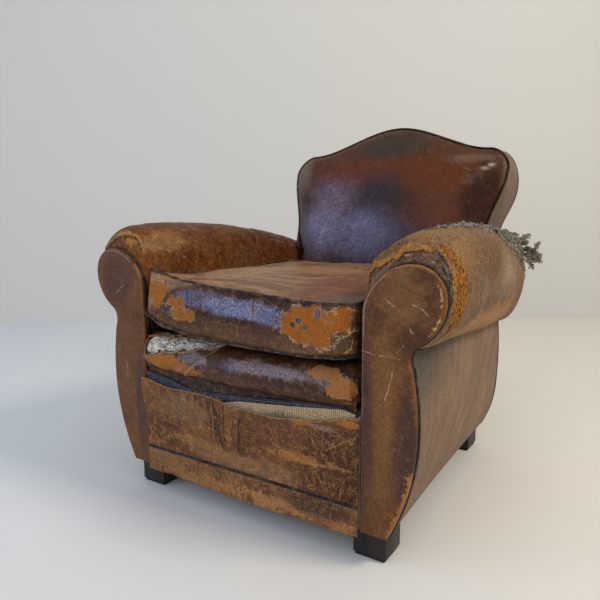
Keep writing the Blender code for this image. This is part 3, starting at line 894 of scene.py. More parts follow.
    def painted(self, name: str) -> Socket:
        """A number painted on the mesh, 0 where it has none."""
        return self.node("ShaderNodeAttribute", attribute_name=name).outputs["Fac"]

    def fanned(self, centre: tuple, factors: Triple) -> Socket:
        """Coordinates for streaks that fan out from a point.

        Args:
            centre: The point's y and z.
            factors: Scale across the fan, along it and across the panel.

        Returns:
            The coordinates' socket.
        """
        across, *flat = self.parts()
        y, z = (self.less(a, b) for a, b in zip(flat, centre))
        turn = self.sum("ARCTAN2", z, y)
        away = self.sum("SQRT", self.sum("ADD", self.times(y, y), self.times(z, z)))
        made = self.node("ShaderNodeCombineXYZ")
        for socket, value, factor in zip(made.inputs, (turn, away, across), factors):
            self.feed(socket, self.times(value, factor))
        return made.outputs[0]

    def relief(
        self, height: Socket, depth: float, under: Socket | None = None, strength: float = 1.0
    ) -> Socket:
        """A bump from a height, laid over another.

        Args:
            height: The height's socket.
            depth: The height of 1, in metres.
            under: The normal that it is laid over.
            strength: The bump's strength.

        Returns:
            The new normal's socket.
        """
        made = self.node("ShaderNodeBump")
        self.fill(made, Strength=strength, Distance=depth, Height=height)
        if under is not None:
            self.fill(made, Normal=under)
        return made.outputs[0]

    def finish(self, colour: Feed, rough: Feed, normal: Socket, **plain) -> Finish:
        """Feeds the shader.

        Args:
            colour: Base colour.
            rough: Roughness.
            normal: The last bump's normal.
            **plain: Other sockets, by name with underscores, and their values.

        Returns:
            The material.
        """
        self.fill(self.shader, Base_Color=colour, Roughness=rough, Normal=normal, **plain)
        return self.material


@dataclass(frozen=True)
class Patch:
    """An area of a leather's surface with its own colour; some stand for painted sheen, highlights
    or shade.
    """

    colour: Colour
    centre: Triple
    radii: Triple
    layer: Layer = Layer.STAIN
    ragged: float = 0.9
    edge: float = 0.5
    share: float = 1.0


@dataclass(frozen=True)
class Rim:
    """Wear or a painted highlight along part of a piece's edge, where its rim attribute is small.
    """

    colour: Colour
    reach: float
    centre: Triple
    radii: Triple
    start: float = 0.0
    ragged: float = 1.0
    share: float = 0.9
    sparse: float = 0.0


@dataclass(frozen=True)
class Scratch:
    """A scratch or crease from one place to another."""

    start: Triple
    end: Triple
    colour: Colour
    width: float = 0.0012
    share: float = 0.8
    through: int = 1


def colour_of(thousandths: tuple) -> Colour:
    """A colour from its thousandths."""
    return tuple(part / 1000 for part in thousandths)


def metres(millimetres: tuple) -> Triple:
    """A place, or radii, from millimetres."""
    return tuple(part / 1000 for part in millimetres)


def made_patches(*rows: tuple) -> tuple:
    """Patches from rows of a table.

    Args:
        *rows: Layer, colour, centre x, y, z and radii x, y, z, then how ragged it is, its
            edge and its share where they aren't the usual ones.

    Returns:
        The patches.
    """
    return tuple(
        Patch(colour_of(colour), metres(row[:3]), metres(row[3:6]), layer, *row[6:]) for layer,
        colour, *row in rows
    )


def made_rims(*rows: tuple) -> tuple:
    """Worn edges from rows of a table.

    Args:
        *rows: Colour, centre x, y, z, radii x, y, z, reach and start, then how ragged it is,
            its share and how sparse it is where they aren't the usual ones.

    Returns:
        The worn edges.
    """
    return tuple(
        Rim(
            colour_of(colour), row[6] / 1000, metres(row[:3]), metres(row[3:6]), row[7] / 1000,
            *row[8:]
        ) for colour,
        *row in rows
    )


def made_scratches(*rows: tuple) -> tuple:
    """Scratches from rows of a table.

    Args:
        *rows: Colour, x, y, z of each end and width, then its share and the axis that it
            runs through where they aren't the usual ones.

    Returns:
        The scratches.
    """
    return tuple(
        Scratch(
            metres(row[:3]), metres(row[3:6]), colour_of(colour), row[6] / 1000, *row[7:]
        ) for colour,
        *row in rows
    )


# Rows of hairline cracks: their scale, width and detail.
HAIRLINES = ((17, 0.0035, 2), (34, 0.006, 3), (58, 0.01, 5), (120, 0.016, 5))
BARE_ROUGH = 0.86
WOOL_DEEP = (0.055, 0.045, 0.032)
WOOL_PALE = (0.24, 0.2, 0.14)
# Painted shade along a tear, under its lifted edge.
TEAR_SHADE = (0.012, 0.008, 0.006)


@dataclass(frozen=True)
class Leather:
    """Worn leather: its dye, mottling, streaks, cracks, bare suede and scratches, and the sheen,
    highlights and shade that its patches paint into its colour.
    """

    dye: Colour
    deep: Colour
    rubbed: Colour
    cloud: float = 9.0
    mottle: float = 0.35
    streak: Triple | None = None
    streak_centre: tuple | None = None
    streak_colour: Colour = (0.2, 0.12, 0.07)
    streak_share: float = 0.5
    contrast: float = 0.42
    crack: float = 0.0
    crack_size: float = 95.0
    crack_colour: Colour = (0.36, 0.2, 0.09)
    crack_centre: Triple | None = None
    crack_radii: Triple = (1.0, 1.0, 1.0)
    suede_deep: Colour = (0.2, 0.075, 0.014)
    rim: Colour = (0.46, 0.27, 0.13)
    rough: float = 0.4
    rough_range: float = 0.16
    gloss: float = 0.24
    flecks: float = 0.3
    fleck_colour: Colour = (0.4, 0.2, 0.07)
    grain: float = 0.00012
    fray: float = 0.3
    nap: float = 0.35
    creases: float = 0.6
    lumps: float = 0.6
    patches: tuple = ()
    scratches: tuple = ()
    rims: tuple = ()
    painted: bool = False

    def build(self, name: str) -> Finish:
        """The leather's material.

        Args:
            name: The material's name.

        Returns:
            The new material.
        """
        g = Graph(name)
        cloud = g.noise(self.cloud, 5, 0.6)
        fine = g.noise(self.cloud * 7, 6, 0.68)
        grit = g.noise(320, 5, 0.7)
        spot = g.noise(170, 4, 0.72)
        fold = g.sum("ABSOLUTE", g.less(g.noise(30, 4, 0.55, 1.0), 0.5))
        fold = g.times(g.step(fold, 0.03, 0.0), g.step(cloud, 0.4, 0.6, self.creases))
        colour = g.blend(g.step(cloud, 0.36, 0.66), self.deep, self.dye)
        colour = g.blend(g.step(fine, 0.48, 0.74, self.mottle), colour, self.rubbed)
        colour = self.streaked(g, colour)
        ragged = g.level(self.fray, g.noise(34, 5, 0.6, 0.7), g.noise(150, 5, 0.7))
        rough = g.level(g.step(fine, 0.3, 0.75), self.rough, self.rough + self.rough_range)
        tone = g.step(g.level(0.5, grit, spot), 0.37, 0.63)
        bare = edge = 0.0
        soft = g.level(0.5, cloud, fine)
        for patch in self.patches:
            near = g.nearness(patch.centre, patch.radii)
            if patch.layer in (Layer.STAIN, Layer.BLOOM):
                value = g.sum("MULTIPLY_ADD", g.less(soft, 0.5), patch.ragged * 2, near)
                share = g.step(value, 0.0, patch.edge, patch.share)
                # A painted sheen is broken by the grain, like a reflection on cracked leather.
                if patch.layer is Layer.BLOOM:
                    share = g.times(share, g.level(g.step(grit, 0.42, 0.54), 0.5, 1.0))
                colour = g.blend(share, colour, patch.colour)
                continue
            value = g.sum("MULTIPLY_ADD", g.less(ragged, 0.5), patch.ragged * 2, near)
            share = g.step(value, 0.1, 0.1 + patch.edge * 0.12)
            line = g.times(g.step(value, 0.04, 0.08), g.step(value, 0.15, 0.1))
            shadow = g.times(g.step(value, -0.03, 0.02), g.step(value, 0.07, 0.04))
            colour = g.blend(g.times(shadow, 0.55), colour, self.deep)
            if patch.layer is Layer.SUEDE:
                nap = g.blend(g.step(spot, 0.47, 0.54, self.nap), patch.colour, self.suede_deep)
                nap = g.blend(g.step(fine, 0.5, 0.72, 0.45), nap, self.suede_deep)
                colour = g.blend(g.times(share, patch.share), colour, nap)
                bare = g.sum("MAXIMUM", bare, share)
            else:
                colour = g.blend(share, colour, patch.colour)
                bare = g.times(bare, g.less(1.0, share))
            edge = g.sum("MAXIMUM", edge, line)
        colour = g.blend(g.times(edge, g.step(fine, 0.4, 0.6, 0.85)), colour, self.rim)
        colour = self.rimmed(g, colour, ragged)
        low, high = 1 - self.contrast, 1 + self.contrast * 0.75
        colour = g.blend(g.level(bare, 1.0, 0.5), colour, g.level(tone, low, high), "MULTIPLY")
        # Darker in the creases: painted shade, along with the creases' bump.
        colour = g.blend(g.times(fold, 0.6), colour, self.deep)
        net, colour = self.cracked(g, colour, bare)
        worn = g.step(fine, 0.4, 0.62, self.flecks)
        for size, width, detail in HAIRLINES:
            away = g.sum("ABSOLUTE", g.less(g.noise(size, detail, 0.62, 1.2), 0.5))
            share = g.times(g.step(away, width, width * 0.3), worn)
            colour = g.blend(g.times(share, g.step(grit, 0.42, 0.5)), colour, self.fleck_colour)
        colour = self.scratched(g, colour)
        if self.painted:
            colour, bare = self.torn(g, colour, bare, grit)
        rough = g.level(bare, rough, BARE_ROUGH)
        normal = g.relief(cloud, 0.004, strength=0.5)
        normal = g.relief(g.less(0.0, fold), 0.001, normal)
        normal = g.relief(spot, 0.0011, normal, self.lumps)
        skin = g.level(0.5, g.cells(700), g.noise(420, 3, 0.6))
        normal = g.relief(skin, self.grain, normal)
        normal = g.relief(g.less(0.0, bare), 0.0006, normal)
        normal = g.relief(g.times(bare, grit), 0.0005, normal)
        if net is not None:
            normal = g.relief(net, 0.0005, normal)
        return g.finish(colour, rough, normal, Specular_IOR_Level=self.gloss)

    def streaked(self, g: Graph, colour: Socket) -> Socket:
        """The colour with long rubbed streaks.

        Args:
            g: The material's graph.
            colour: The colour so far.

        Returns:
            The colour's socket.
        """
        if self.streak is None:
            return colour
        fan = self.streak_centre
        at = g.fanned(fan, self.streak) if fan else g.stretched(self.streak)
        line = g.noise(1.0, 6, 0.68, at=at)
        other = g.noise(2.7, 5, 0.7, at=at)
        share = g.step(line, 0.45, 0.63, self.streak_share)
        colour = g.blend(share, colour, self.streak_colour)
        return g.blend(g.step(other, 0.49, 0.64, self.streak_share * 0.8), colour, self.deep)

    def rimmed(self, g: Graph, colour: Socket, ragged: Socket) -> Socket:
        """The colour with its worn edges and painted edge highlights.

        Args:
            g: The material's graph.
            colour: The colour so far.
            ragged: Noise that breaks its edge.

        Returns:
            The colour's socket.
        """
        rim = g.painted("rim") if self.rims else None
        for part in self.rims:
            away = g.sum("DIVIDE", g.less(rim, part.start), part.reach)
            near = g.less(1.0 - part.sparse, g.sum("ABSOLUTE", away))
            value = g.sum("MULTIPLY_ADD", g.less(ragged, 0.5), part.ragged * 2, near)
            where = g.step(g.nearness(part.centre, part.radii), 0.0, 0.15)
            share = g.times(g.step(value, 0.2, 0.4, part.share), where)
            colour = g.blend(share, colour, part.colour)
        return colour

    def torn(self, g: Graph, colour: Socket, bare: Feed, grit: Socket) -> tuple:
        """The colour with raw edges, painted shade along the tears and bare stuffing, where the
        mesh carries them.

        Args:
            g: The material's graph.
            colour: The colour so far.
            bare: How bare the surface is.
            grit: Fine noise.

        Returns:
            The colour, and how bare the surface is now.
        """
        raw = g.painted("raw")
        nap = g.blend(g.step(grit, 0.35, 0.62), self.suede_deep, self.rim)
        colour = g.blend(raw, colour, nap)
        felt = g.painted("felt")
        hair = g.noise(420, 5, 0.75, 1.5)
        wool = g.blend(g.step(hair, 0.36, 0.64), WOOL_DEEP, WOOL_PALE)
        colour = g.blend(felt, colour, wool)
        # Painted shade along the tears, under their lifted edges.
        colour = g.blend(g.painted("tear_shade"), colour, TEAR_SHADE)
        return colour, g.sum("MAXIMUM", g.sum("MAXIMUM", raw, felt), bare)

    def cracked(self, g: Graph, colour: Socket, bare: Feed) -> tuple:
        """The colour with a net of fine cracks, and the net's height.

        Args:
            g: The material's graph.
            colour: The colour so far.
            bare: How bare the surface is.

        Returns:
            The net's height, None where there is none, and the colour.
        """
        if not self.crack:
            return None, colour
        spot = g.bent(self.crack_size * 0.5, 3, 0.9 / self.crack_size)
        line = g.step(g.cells(self.crack_size, "DISTANCE_TO_EDGE", at=spot), 0.09, 0.0)
        small = g.step(g.cells(self.crack_size * 2.6, "DISTANCE_TO_EDGE", at=spot), 0.1, 0.0)
        line = g.sum("MAXIMUM", line, g.times(small, 0.6))
        where = g.step(g.noise(16, 4, 0.6), 0.4, 0.6)
        if self.crack_centre:
            near = g.nearness(self.crack_centre, self.crack_radii)
            where = g.times(g.step(near, 0.0, 0.4), g.step(g.noise(26, 4), 0.25, 0.5))
        share = g.times(line, where)
        share = g.times(share, g.less(1.0, bare))
        colour = g.blend(g.times(share, self.crack), colour, self.crack_colour)
        return g.less(0.0, share), colour

    def scratched(self, g: Graph, colour: Socket) -> Socket:
        """The colour with its single scratches and creases.

        Args:
            g: The material's graph.
            colour: The colour so far.

        Returns:
            The colour's socket.
        """
        if not self.scratches:
            return colour
        bent = g.bent(38, 5, 0.014)
        broken = g.step(g.noise(120, 3, 0.7), 0.34, 0.44)
        uneven = g.level(g.step(g.noise(75, 4, 0.7), 0.4, 0.6), 0.6, 1.9)
        spots = {}
        for line in self.scratches:
            flat = tuple(0.12 if axis == line.through else 1.0 for axis in range(3))
            if line.through not in spots:
                spots[line.through] = g.along("MULTIPLY", bent, flat)
            ends = (tuple(a * b for a, b in zip(end, flat)) for end in (line.start, line.end))
            away = g.times(g.stroke(*ends, spots[line.through]), uneven)
            share = g.step(away, line.width * 1.35, line.width * 0.4, line.share)
            colour = g.blend(g.times(share, broken), colour, line.colour)
        return colour


@dataclass(frozen=True)
class Woven:
    """A plain weave: hessian, webbing or cambric."""

    warp: Colour
    weft: Colour
    pitch: float = 0.0012
    rough: float = 0.9
    depth: float = 0.0005

    def build(self, name: str) -> Finish:
        """The cloth's material, its threads along x and along y and z together.

        Args:
            name: The material's name.

        Returns:
            The material.
        """
        g = Graph(name)
        wobble = g.times(g.noise(180, 3), 6.0)
        x, y, z = g.parts()
        turn = 2 * math.pi / self.pitch
        across = g.sum("SINE", g.sum("MULTIPLY_ADD", x, turn, wobble))
        along = g.sum("SINE", g.sum("MULTIPLY_ADD", g.sum("ADD", y, z), turn, wobble))
        over = g.sum("MULTIPLY_ADD", g.times(across, along), 0.5, 0.5)
        high = g.sum("MAXIMUM", across, along)
        colour = g.blend(over, self.warp, self.weft)
        colour = g.blend(g.step(g.noise(700, 4, 0.7), 0.35, 0.7, 0.55), colour, self.warp)
        # Painted shade in the gaps between the threads.
        dark = g.blend(1.0, colour, (0.3, 0.28, 0.26), "MULTIPLY")
        colour = g.blend(g.step(high, 0.75, -0.2), colour, dark)
        normal = g.relief(high, self.depth)
        return g.finish(colour, self.rough, normal, Sheen_Weight=0.2)


@dataclass(frozen=True)
class Fibre:
    """Loose stuffing: wadding, felted hair or frayed thread."""

    pale: Colour
    deep: Colour
    size: float = 260.0
    rough: float = 0.95

    def build(self, name: str) -> Finish:
        """The stuffing's material.

        Args:
            name: The material's name.

        Returns:
            The material.
        """
        g = Graph(name)
        clump = g.noise(self.size * 0.22, 5, 0.65)
        hair = g.noise(self.size, 5, 0.75, 1.5)
        colour = g.blend(g.step(clump, 0.35, 0.65), self.deep, self.pale)
        colour = g.blend(g.step(hair, 0.4, 0.7, 0.6), colour, self.deep)
        normal = g.relief(hair, 0.0012)
        return g.finish(colour, self.rough, normal, Sheen_Weight=0.25)


@dataclass(frozen=True)
class Cording:
    """Piping: black leather over cord, with pale wear."""

    black: Colour = (0.012, 0.011, 0.012)
    worn: Colour = (0.16, 0.13, 0.11)
    wear: float = 0.5
    rough: float = 0.42
    gloss: float = 0.25

    def build(self, name: str) -> Finish:
        """The piping's material.

        Args:
            name: The material's name.

        Returns:
            The material.
        """
        g = Graph(name)
        rub = g.noise(55, 6, 0.7)
        fleck = g.noise(260, 4, 0.75)
        colour = g.blend(g.step(rub, 0.44, 0.62, self.wear * 0.6), self.black, self.worn)
        share = g.times(g.step(fleck, 0.62, 0.72), g.step(rub, 0.45, 0.62, self.wear))
        colour = g.blend(share, colour, (0.42, 0.36, 0.29))
        rough = g.level(g.step(rub, 0.35, 0.7), self.rough, self.rough + 0.3)
        normal = g.relief(g.noise(380, 4, 0.6), 0.0006)
        return g.finish(colour, rough, normal, Specular_IOR_Level=self.gloss)


@dataclass(frozen=True)
class Timber:
    """Wood with its grain along one axis."""

    pale: Colour
    deep: Colour
    grain: Triple = (3.0, 60.0, 60.0)
    rough: float = 0.55
    scuff: float = 0.0
    scuff_colour: Colour = (0.12, 0.07, 0.04)

    def build(self, name: str) -> Finish:
        """The wood's material.

        Args:
            name: The material's name.

        Returns:
            The material.
        """
        g = Graph(name)
        line = g.noise(1.0, 6, 0.6, 0.8, at=g.stretched(self.grain))
        pore = g.noise(5.0, 4, 0.7, at=g.stretched(self.grain))
        colour = g.blend(g.step(line, 0.35, 0.65), self.deep, self.pale)
        colour = g.blend(g.step(pore, 0.58, 0.75, 0.5), colour, self.deep)
        if self.scuff:
            rub = g.step(g.noise(90, 6, 0.75), 0.6, 0.72, self.scuff)
            colour = g.blend(rub, colour, self.scuff_colour)
        rough = g.level(g.step(line, 0.3, 0.7), self.rough - 0.08, self.rough + 0.1)
        return g.finish(colour, rough, g.relief(line, 0.0004), Specular_IOR_Level=0.25)


@dataclass(frozen=True)
class Steel:
    """Dull spring wire with spots of rust."""

    def build(self, name: str) -> Finish:
        """The wire's material.

        Args:
            name: The material's name.

        Returns:
            The material.
        """
        g = Graph(name)
        rust = g.step(g.noise(140, 6, 0.7), 0.52, 0.66)
        colour = g.blend(rust, (0.34, 0.33, 0.32), (0.16, 0.06, 0.025))
        metal = g.level(rust, 1.0, 0.1)
        rough = g.level(rust, 0.38, 0.85)
        return g.finish(colour, rough, g.relief(g.noise(500), 0.0002), Metallic=metal)


@dataclass(frozen=True)
class Felt:
    """The soft pad under a foot."""

    colour: Colour = (0.01, 0.01, 0.011)

    def build(self, name: str) -> Finish:
        """The pad's material.

        Args:
            name: The material's name.

        Returns:
            The material.
        """
        g = Graph(name)
        nap = g.noise(900, 4, 0.7)
        colour = g.blend(g.step(nap, 0.4, 0.7, 0.6), self.colour, (0.035, 0.034, 0.034))
        return g.finish(colour, 0.9, g.relief(nap, 0.0003))


# --- loose fibres


class Strands:
    """Many thin threads gathered into one mesh."""

    def __init__(self, sides: int = 5) -> None:
        """Starts with no thread.

        Args:
            sides: How many faces go round a thread.
        """
        self.sides = sides
        self.points: list = []
        self.faces: list = []

    def add(self, path: Points, radius: Values) -> None:
        """Adds a closed thread along a path.

        Args:
            path: Places along it.
            radius: One radius, or one for each place.
        """
        base, n = len(self.points), self.sides
        for ring in rings_along(path, radius, n, (0.37, 0.21, 0.9)):
            self.points.extend(map(tuple, ring))
        for row in range(len(path) - 1):
            low = base + row * n
            for i in range(n):
                j = (i + 1) % n
                self.faces.append((low + i, low + j, low + n + j, low + n + i))
        self.faces.append(tuple(base + i for i in reversed(range(n))))
        last = base + (len(path) - 1) * n
        self.faces.append(tuple(last + i for i in range(n)))

    def mesh(self, name: str) -> Piece:
        """The threads as one piece.

        Args:
            name: The piece's name.

        Returns:
            The piece.
        """
        data = bpy.data.meshes.new(name)
        data.from_pydata(self.points, [], self.faces)
        piece = bpy.data.objects.new(name, data)
        bpy.context.scene.collection.objects.link(piece)
        shade(piece, ANY_ANGLE)
        return piece


def wandering(
    rng: np.random.Generator, start: Points, way: Points, length: float, curl: float,
    steps: int = 12
) -> Points:
    """A thread's path that wanders as it goes.

    Args:
        rng: The source of chance.
        start: Where it begins.
        way: Its first direction.
        length: Its length.
        curl: How sharply it turns at each step.
        steps: How many steps it takes.

    Returns:
        Places along it.
    """
    way = np.array(way, float)
    way /= np.linalg.norm(way)
    spin = rng.normal(size=3)
    path = [np.array(start, float)]
    for _ in range(steps):
        spin = spin * 0.7 + rng.normal(size=3) * 0.6
        way = way + spin * curl
        way /= np.linalg.norm(way)
        path.append(path[-1] + way * length / steps)
    return np.array(path)


def dress(piece: Piece, finish: str, slot: str, *nodes: str) -> None:
    """Gives a piece its finish and its place in the chair.

    Args:
        piece: The piece.
        finish: Its finish's name.
        slot: The record's material slot; not used.
        *nodes: The solids that it stands for.
    """
    piece.data.materials.clear()
    piece.data.materials.append(FINISHES[finish])
    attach(piece, "root")
    if nodes:
        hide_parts(*nodes)
    LOG.info("%s: %d faces", piece.name, len(piece.data.polygons))


def made_sheet(
    name: str, points: Points, thickness: float, finish: str, slot: str, *nodes: str,
    layers: dict | None = None
) -> Piece:
    """A dressed sheet of leather or cloth.

    Args:
        name: The piece's name.
        points: Places on its face by row and column.
        thickness: How thick it is.
        finish: Its finish's name.
        slot: The record's material slot.
        *nodes: The solids that it stands for.
        layers: Numbers by row and column that its material reads.

    Returns:
        The piece.
    """
    piece = laid_grid(name, points, layers=layers)
    solid_sheet(piece, thickness)
    dress(piece, finish, slot, *nodes)
    return piece


def sheet_axes(left: float, right: float, columns: int, rows: int) -> tuple:
    """A sheet's x by column, and its level from 0 to 1 by row."""
    return np.linspace(left, right, columns)[None, :], unit(rows)[:, None]


def grid_normals(points: Points) -> Points:
    """Unit normals of a grid of places, as its faces point.

    Args:
        points: Places by row and column.

    Returns:
        The normals by row and column.
    """
    across = np.gradient(points, axis=1)
    up = np.gradient(points, axis=0)
    n = np.cross(across, up)
    return n / (np.linalg.norm(n, axis=2)[:, :, None] + TINY)


def flat_ripple(points: Points, scale: float | tuple, seed: int, octaves: int = 3) -> Points:
    """Noise for a grid of places, by row and column."""
    return ripple(points.reshape(-1, 3), scale, seed, octaves).reshape(points.shape[:2])


# --- arms


@dataclass
class Arm:
    """One arm: its padded roll, scroll facing, piping and outside panel."""

    side: Side
    around: int = 120
    wall_points: int = 26
    hollow_points: int = 12
    near_step: float = 0.0022
    near_end: float = 0.085
    far_step: float = 0.0055
    wall_bottom: float = 0.1504
    wall_inside: float = 0.285
    hollow_top: float = 0.462
    cord: float = 0.0015
    surface: tuple | None = None
    tear: tuple = (
        (-25, 0.015), (-8, 0.019), (0, 0.0205), (20, 0.0239), (40, 0.0257), (62, 0.0287),
        (92, 0.0305), (118, 0.0288), (140, 0.0335), (158, 0.03), (172, 0.015)
    )
    left_tear: tuple = ((46, 0.017), (60, 0.019), (90, 0.027), (115, 0.031), (140, 0.024))
    rear_tear: tuple = (
        (0.1, 97), (0.16, 82), (0.3, 72), (0.41, 59), (0.49, 40), (0.565, 30), (0.637, 16),
        (0.7, 10), (0.745, 5)
    )

    def build(self) -> None:
        """Builds every piece of the arm."""
        self.build_pad()
        self.build_facing()
        self.build_piping()
        self.build_outside()
        if self.side is Side.RIGHT:
            self.build_flap()
            self.build_lining()

    def depths(self) -> Points:
        """Depths of the roll's rows, closer together at the front."""
        near = np.arange(0.0, self.near_end, self.near_step)
        far = np.arange(self.near_end + self.far_step, 0.7265, self.far_step)
        return LINES.arm_start + np.concatenate([near, far, [0.73]])

    def build_pad(self) -> None:
        """The inside arm and roll, leather over stuffing."""
        depth = self.depths()
        roll = Roll(self.side)
        cx, cz, sx, sz, tilt, wall, _ = roll.ellipse(depth)
        edge = roll.panel_x(depth) - 0.01
        start = -np.arccos(np.clip((edge - cx) / sx, -1.0, 1.0))
        u = unit(self.around)
        angle = mix(start[:, None], math.pi, u[None, :])
        x = cx[:, None] + sx[:, None] * np.cos(angle)
        z = cz[:, None] + sz[:, None] * np.sin(angle + tilt[:, None])
        x = x + self.bulge(depth[:, None], z, angle)
        down = unit(self.wall_points + 1)[None, 1:]
        wall_z = mix(z[:, -1:], self.wall_bottom, down)
        wall_x = mix(x[:, -1:], wall[:, None], np.minimum(1.0, down * 2.6))
        up = unit(self.hollow_points)[None, :]
        back_z = np.where(
            up < 0.8, mix(self.wall_bottom, self.hollow_top, up / 0.8), self.hollow_top
        )
        back_x = np.where(
            up < 0.8, self.wall_inside, mix(self.wall_inside, edge[:, None], (up - 0.8) / 0.2)
        )
        x = np.concatenate(
            [x, wall_x, np.broadcast_to(back_x, (len(depth), self.hollow_points))], 1
        )
        z = np.concatenate(
            [z, wall_z, np.broadcast_to(back_z, (len(depth), self.hollow_points))], 1
        )
        share = ((depth - LINES.arm_start) / (LINES.arm_end - LINES.arm_start))[:, None]
        points = at(x, mix(LINES.arm_start, LINES.rear(z) - LINES.rear_tuck, share), z)
        amount = np.zeros(x.shape)
        shown = self.around + self.wall_points
        amount[:, :shown] = self.relief(points[:, :shown], depth, angle)
        torn, layers = self.torn(points, depth, angle)
        out = -grid_normals(points)
        points = points + out * (amount + torn)[:, :, None]
        self.surface = (depth, start, points[:, : self.around].copy(), out[:, : self.around])
        points[:, :, 0] *= self.side.value
        pad = laid_grid(f"{self.side.label}_arm_pad", points, wrap=True, ends=True, layers=layers)
        shade(pad, PAD_ANGLE)
        label = self.side.label
        dress(pad, f"arm_{label}", "leather_brown", f"arm_pad_{label}")

    def bulge(self, depth: Points, z: Points, angle: Points) -> Points:
        """How far the roll's front swells inwards and upwards of its plain section.

        Args:
            depth: Depths behind the facings.
            z: Heights.
            angle: Angles round the roll.

        Returns:
            The change of x.
        """
        reach = 0.01 if self.side is Side.RIGHT else 0.003
        front = ease(0.016, 0.034, depth) * (1 - ease(0.09, 0.22, depth))
        return -reach * front * bell(z, 0.545, 0.045) * ease(1.6, 2.4, angle)

    def relief(self, points: Points, depth: Points, angle: Points) -> Points:
        """How far each place stands out of the plain roll.

        Args:
            points: The roll's places by depth and angle.
            depth: The rows' depths.
            angle: The angles round the roll.

        Returns:
            The heights by depth and angle.
        """
        spots = points + np.array([0.0, 0.0, 3.0 * self.side.value])
        amount = 0.0022 * flat_ripple(spots, (9, 7, 9), 11) + 0.0007 * flat_ripple(spots, 45, 12, 3)
        turn = np.zeros(points.shape[:2])
        turn[:, : self.around] = angle
        turn[:, self.around :] = math.pi
        behind = depth[:, None] - LINES.arm_start
        pucker = np.sin(turn * 31 + 3.0 * flat_ripple(spots, 30, 13, 2))
        amount += 0.0009 * pucker * np.exp(-behind / 0.022) * (turn < math.pi - 0.01)
        if self.side is Side.RIGHT:
            amount += 0.0009 * flat_ripple(spots, (7, 75, 7), 16, 3)
        else:
            amount += 0.0011 * flat_ripple(spots, (9, 34, 9), 17, 3)
        fade = ease(0.0, 0.01, behind) * (1 - ease(0.7, 0.73, behind))
        return amount * mix(0.25, 1.0, fade)

    def torn(self, points: Points, depth: Points, angle: Points) -> tuple:
        """The pad's tears, as heights and as painted shares.

        Args:
            points: The pad's places by depth and column.
            depth: The rows' depths.
            angle: The angles round the roll in its first columns.

        Returns:
            The heights, and the shares of raw edge, bare stuffing and painted shade along the tear.
        """
        turn = np.full(points.shape[:2], 180.0)
        turn[:, : self.around] = np.degrees(angle)
        spots = points + np.array([0.0, 0.0, 3.0 * self.side.value])
        rag = flat_ripple(spots, 70, 14, 3)
        behind = np.broadcast_to(depth[:, None], turn.shape)
        if self.side is Side.LEFT:
            past = behind - read_table(self.left_tear, turn) - 0.0013 * rag
            gone = ease(44, 56, turn) * (1 - ease(128, 140, turn))
            lift = -0.0013 * gone * (1 - ease(-0.001, 0.001, past))
            lift = lift + 0.0018 * gone * bell(past, 0.004, 0.003)
            raw = gone * bell(past, 0.0028, 0.0024)
            # The second share is painted shade along the tear, under its lifted edge.
            return lift, {"raw": raw, "tear_shade": 0.8 * gone * bell(past, -0.0012, 0.0014)}
        past = behind - read_table(self.tear, turn) - 0.0016 * rag
        gone = ease(-30, -5, turn) * (1 - ease(162, 176, turn))
        lift = -0.003 * gone * (1 - ease(-0.0012, 0.0012, past))
        lift = lift + 0.0018 * gone * bell(past, 0.003, 0.003)
        lift = lift + 0.0012 * gone * (past < 0) * flat_ripple(spots, (60, 60, 60), 15, 3)
        raw = gone * bell(past, 0.0022, 0.0018)
        # Painted shade along the tear, under its lifted edge.
        tear_shade = gone * bell(past, -0.001, 0.0014)
        line = turn - read_table(self.rear_tear, behind) - 4.0 * rag
        rear = ease(0.1, 0.16, behind)
        felt = ease(-2, 2, line) * (1 - ease(112, 122, turn + 3 * rag)) * rear
        lift = lift - 0.003 * felt + 0.0034 * felt * flat_ripple(spots, (70, 50, 70), 18, 4)
        lift = lift + 0.0016 * rear * bell(line, -3.0, 3.0) * (turn < 115)
        raw = np.maximum(raw, rear * bell(line, -2.5, 2.2) * (turn < 115))
        return lift, {"raw": raw, "tear_shade": tear_shade, "felt": felt}

    def on(self, depth: Values, degrees: Values, height: Values) -> Points:
        """Places a little above the finished pad.

        Args:
            depth: Their depths.
            degrees: Their angles round the roll.
            height: How far they stand above it.

        Returns:
            The places.
        """
        rows, start, skin, out = self.surface
        depth, degrees, height = np.broadcast_arrays(depth, degrees, height)
        row = np.interp(depth, rows, np.arange(len(rows)))
        first = np.interp(depth, rows, start)
        column = (np.radians(degrees) - first) / (math.pi - first) * (self.around - 1)
        column = np.clip(column, 0, self.around - 1.001)
        r, c = np.minimum(row.astype(int), len(rows) - 2), column.astype(int)
        down, across = (row - r)[..., None], (column - c)[..., None]

        def read(grid: Points) -> Points:
            upper = mix(grid[r, c], grid[r, c + 1], across)
            return mix(upper, mix(grid[r + 1, c], grid[r + 1, c + 1], across), down)

        return (read(skin) + height[..., None] * read(out)) * (self.side.value, 1, 1)

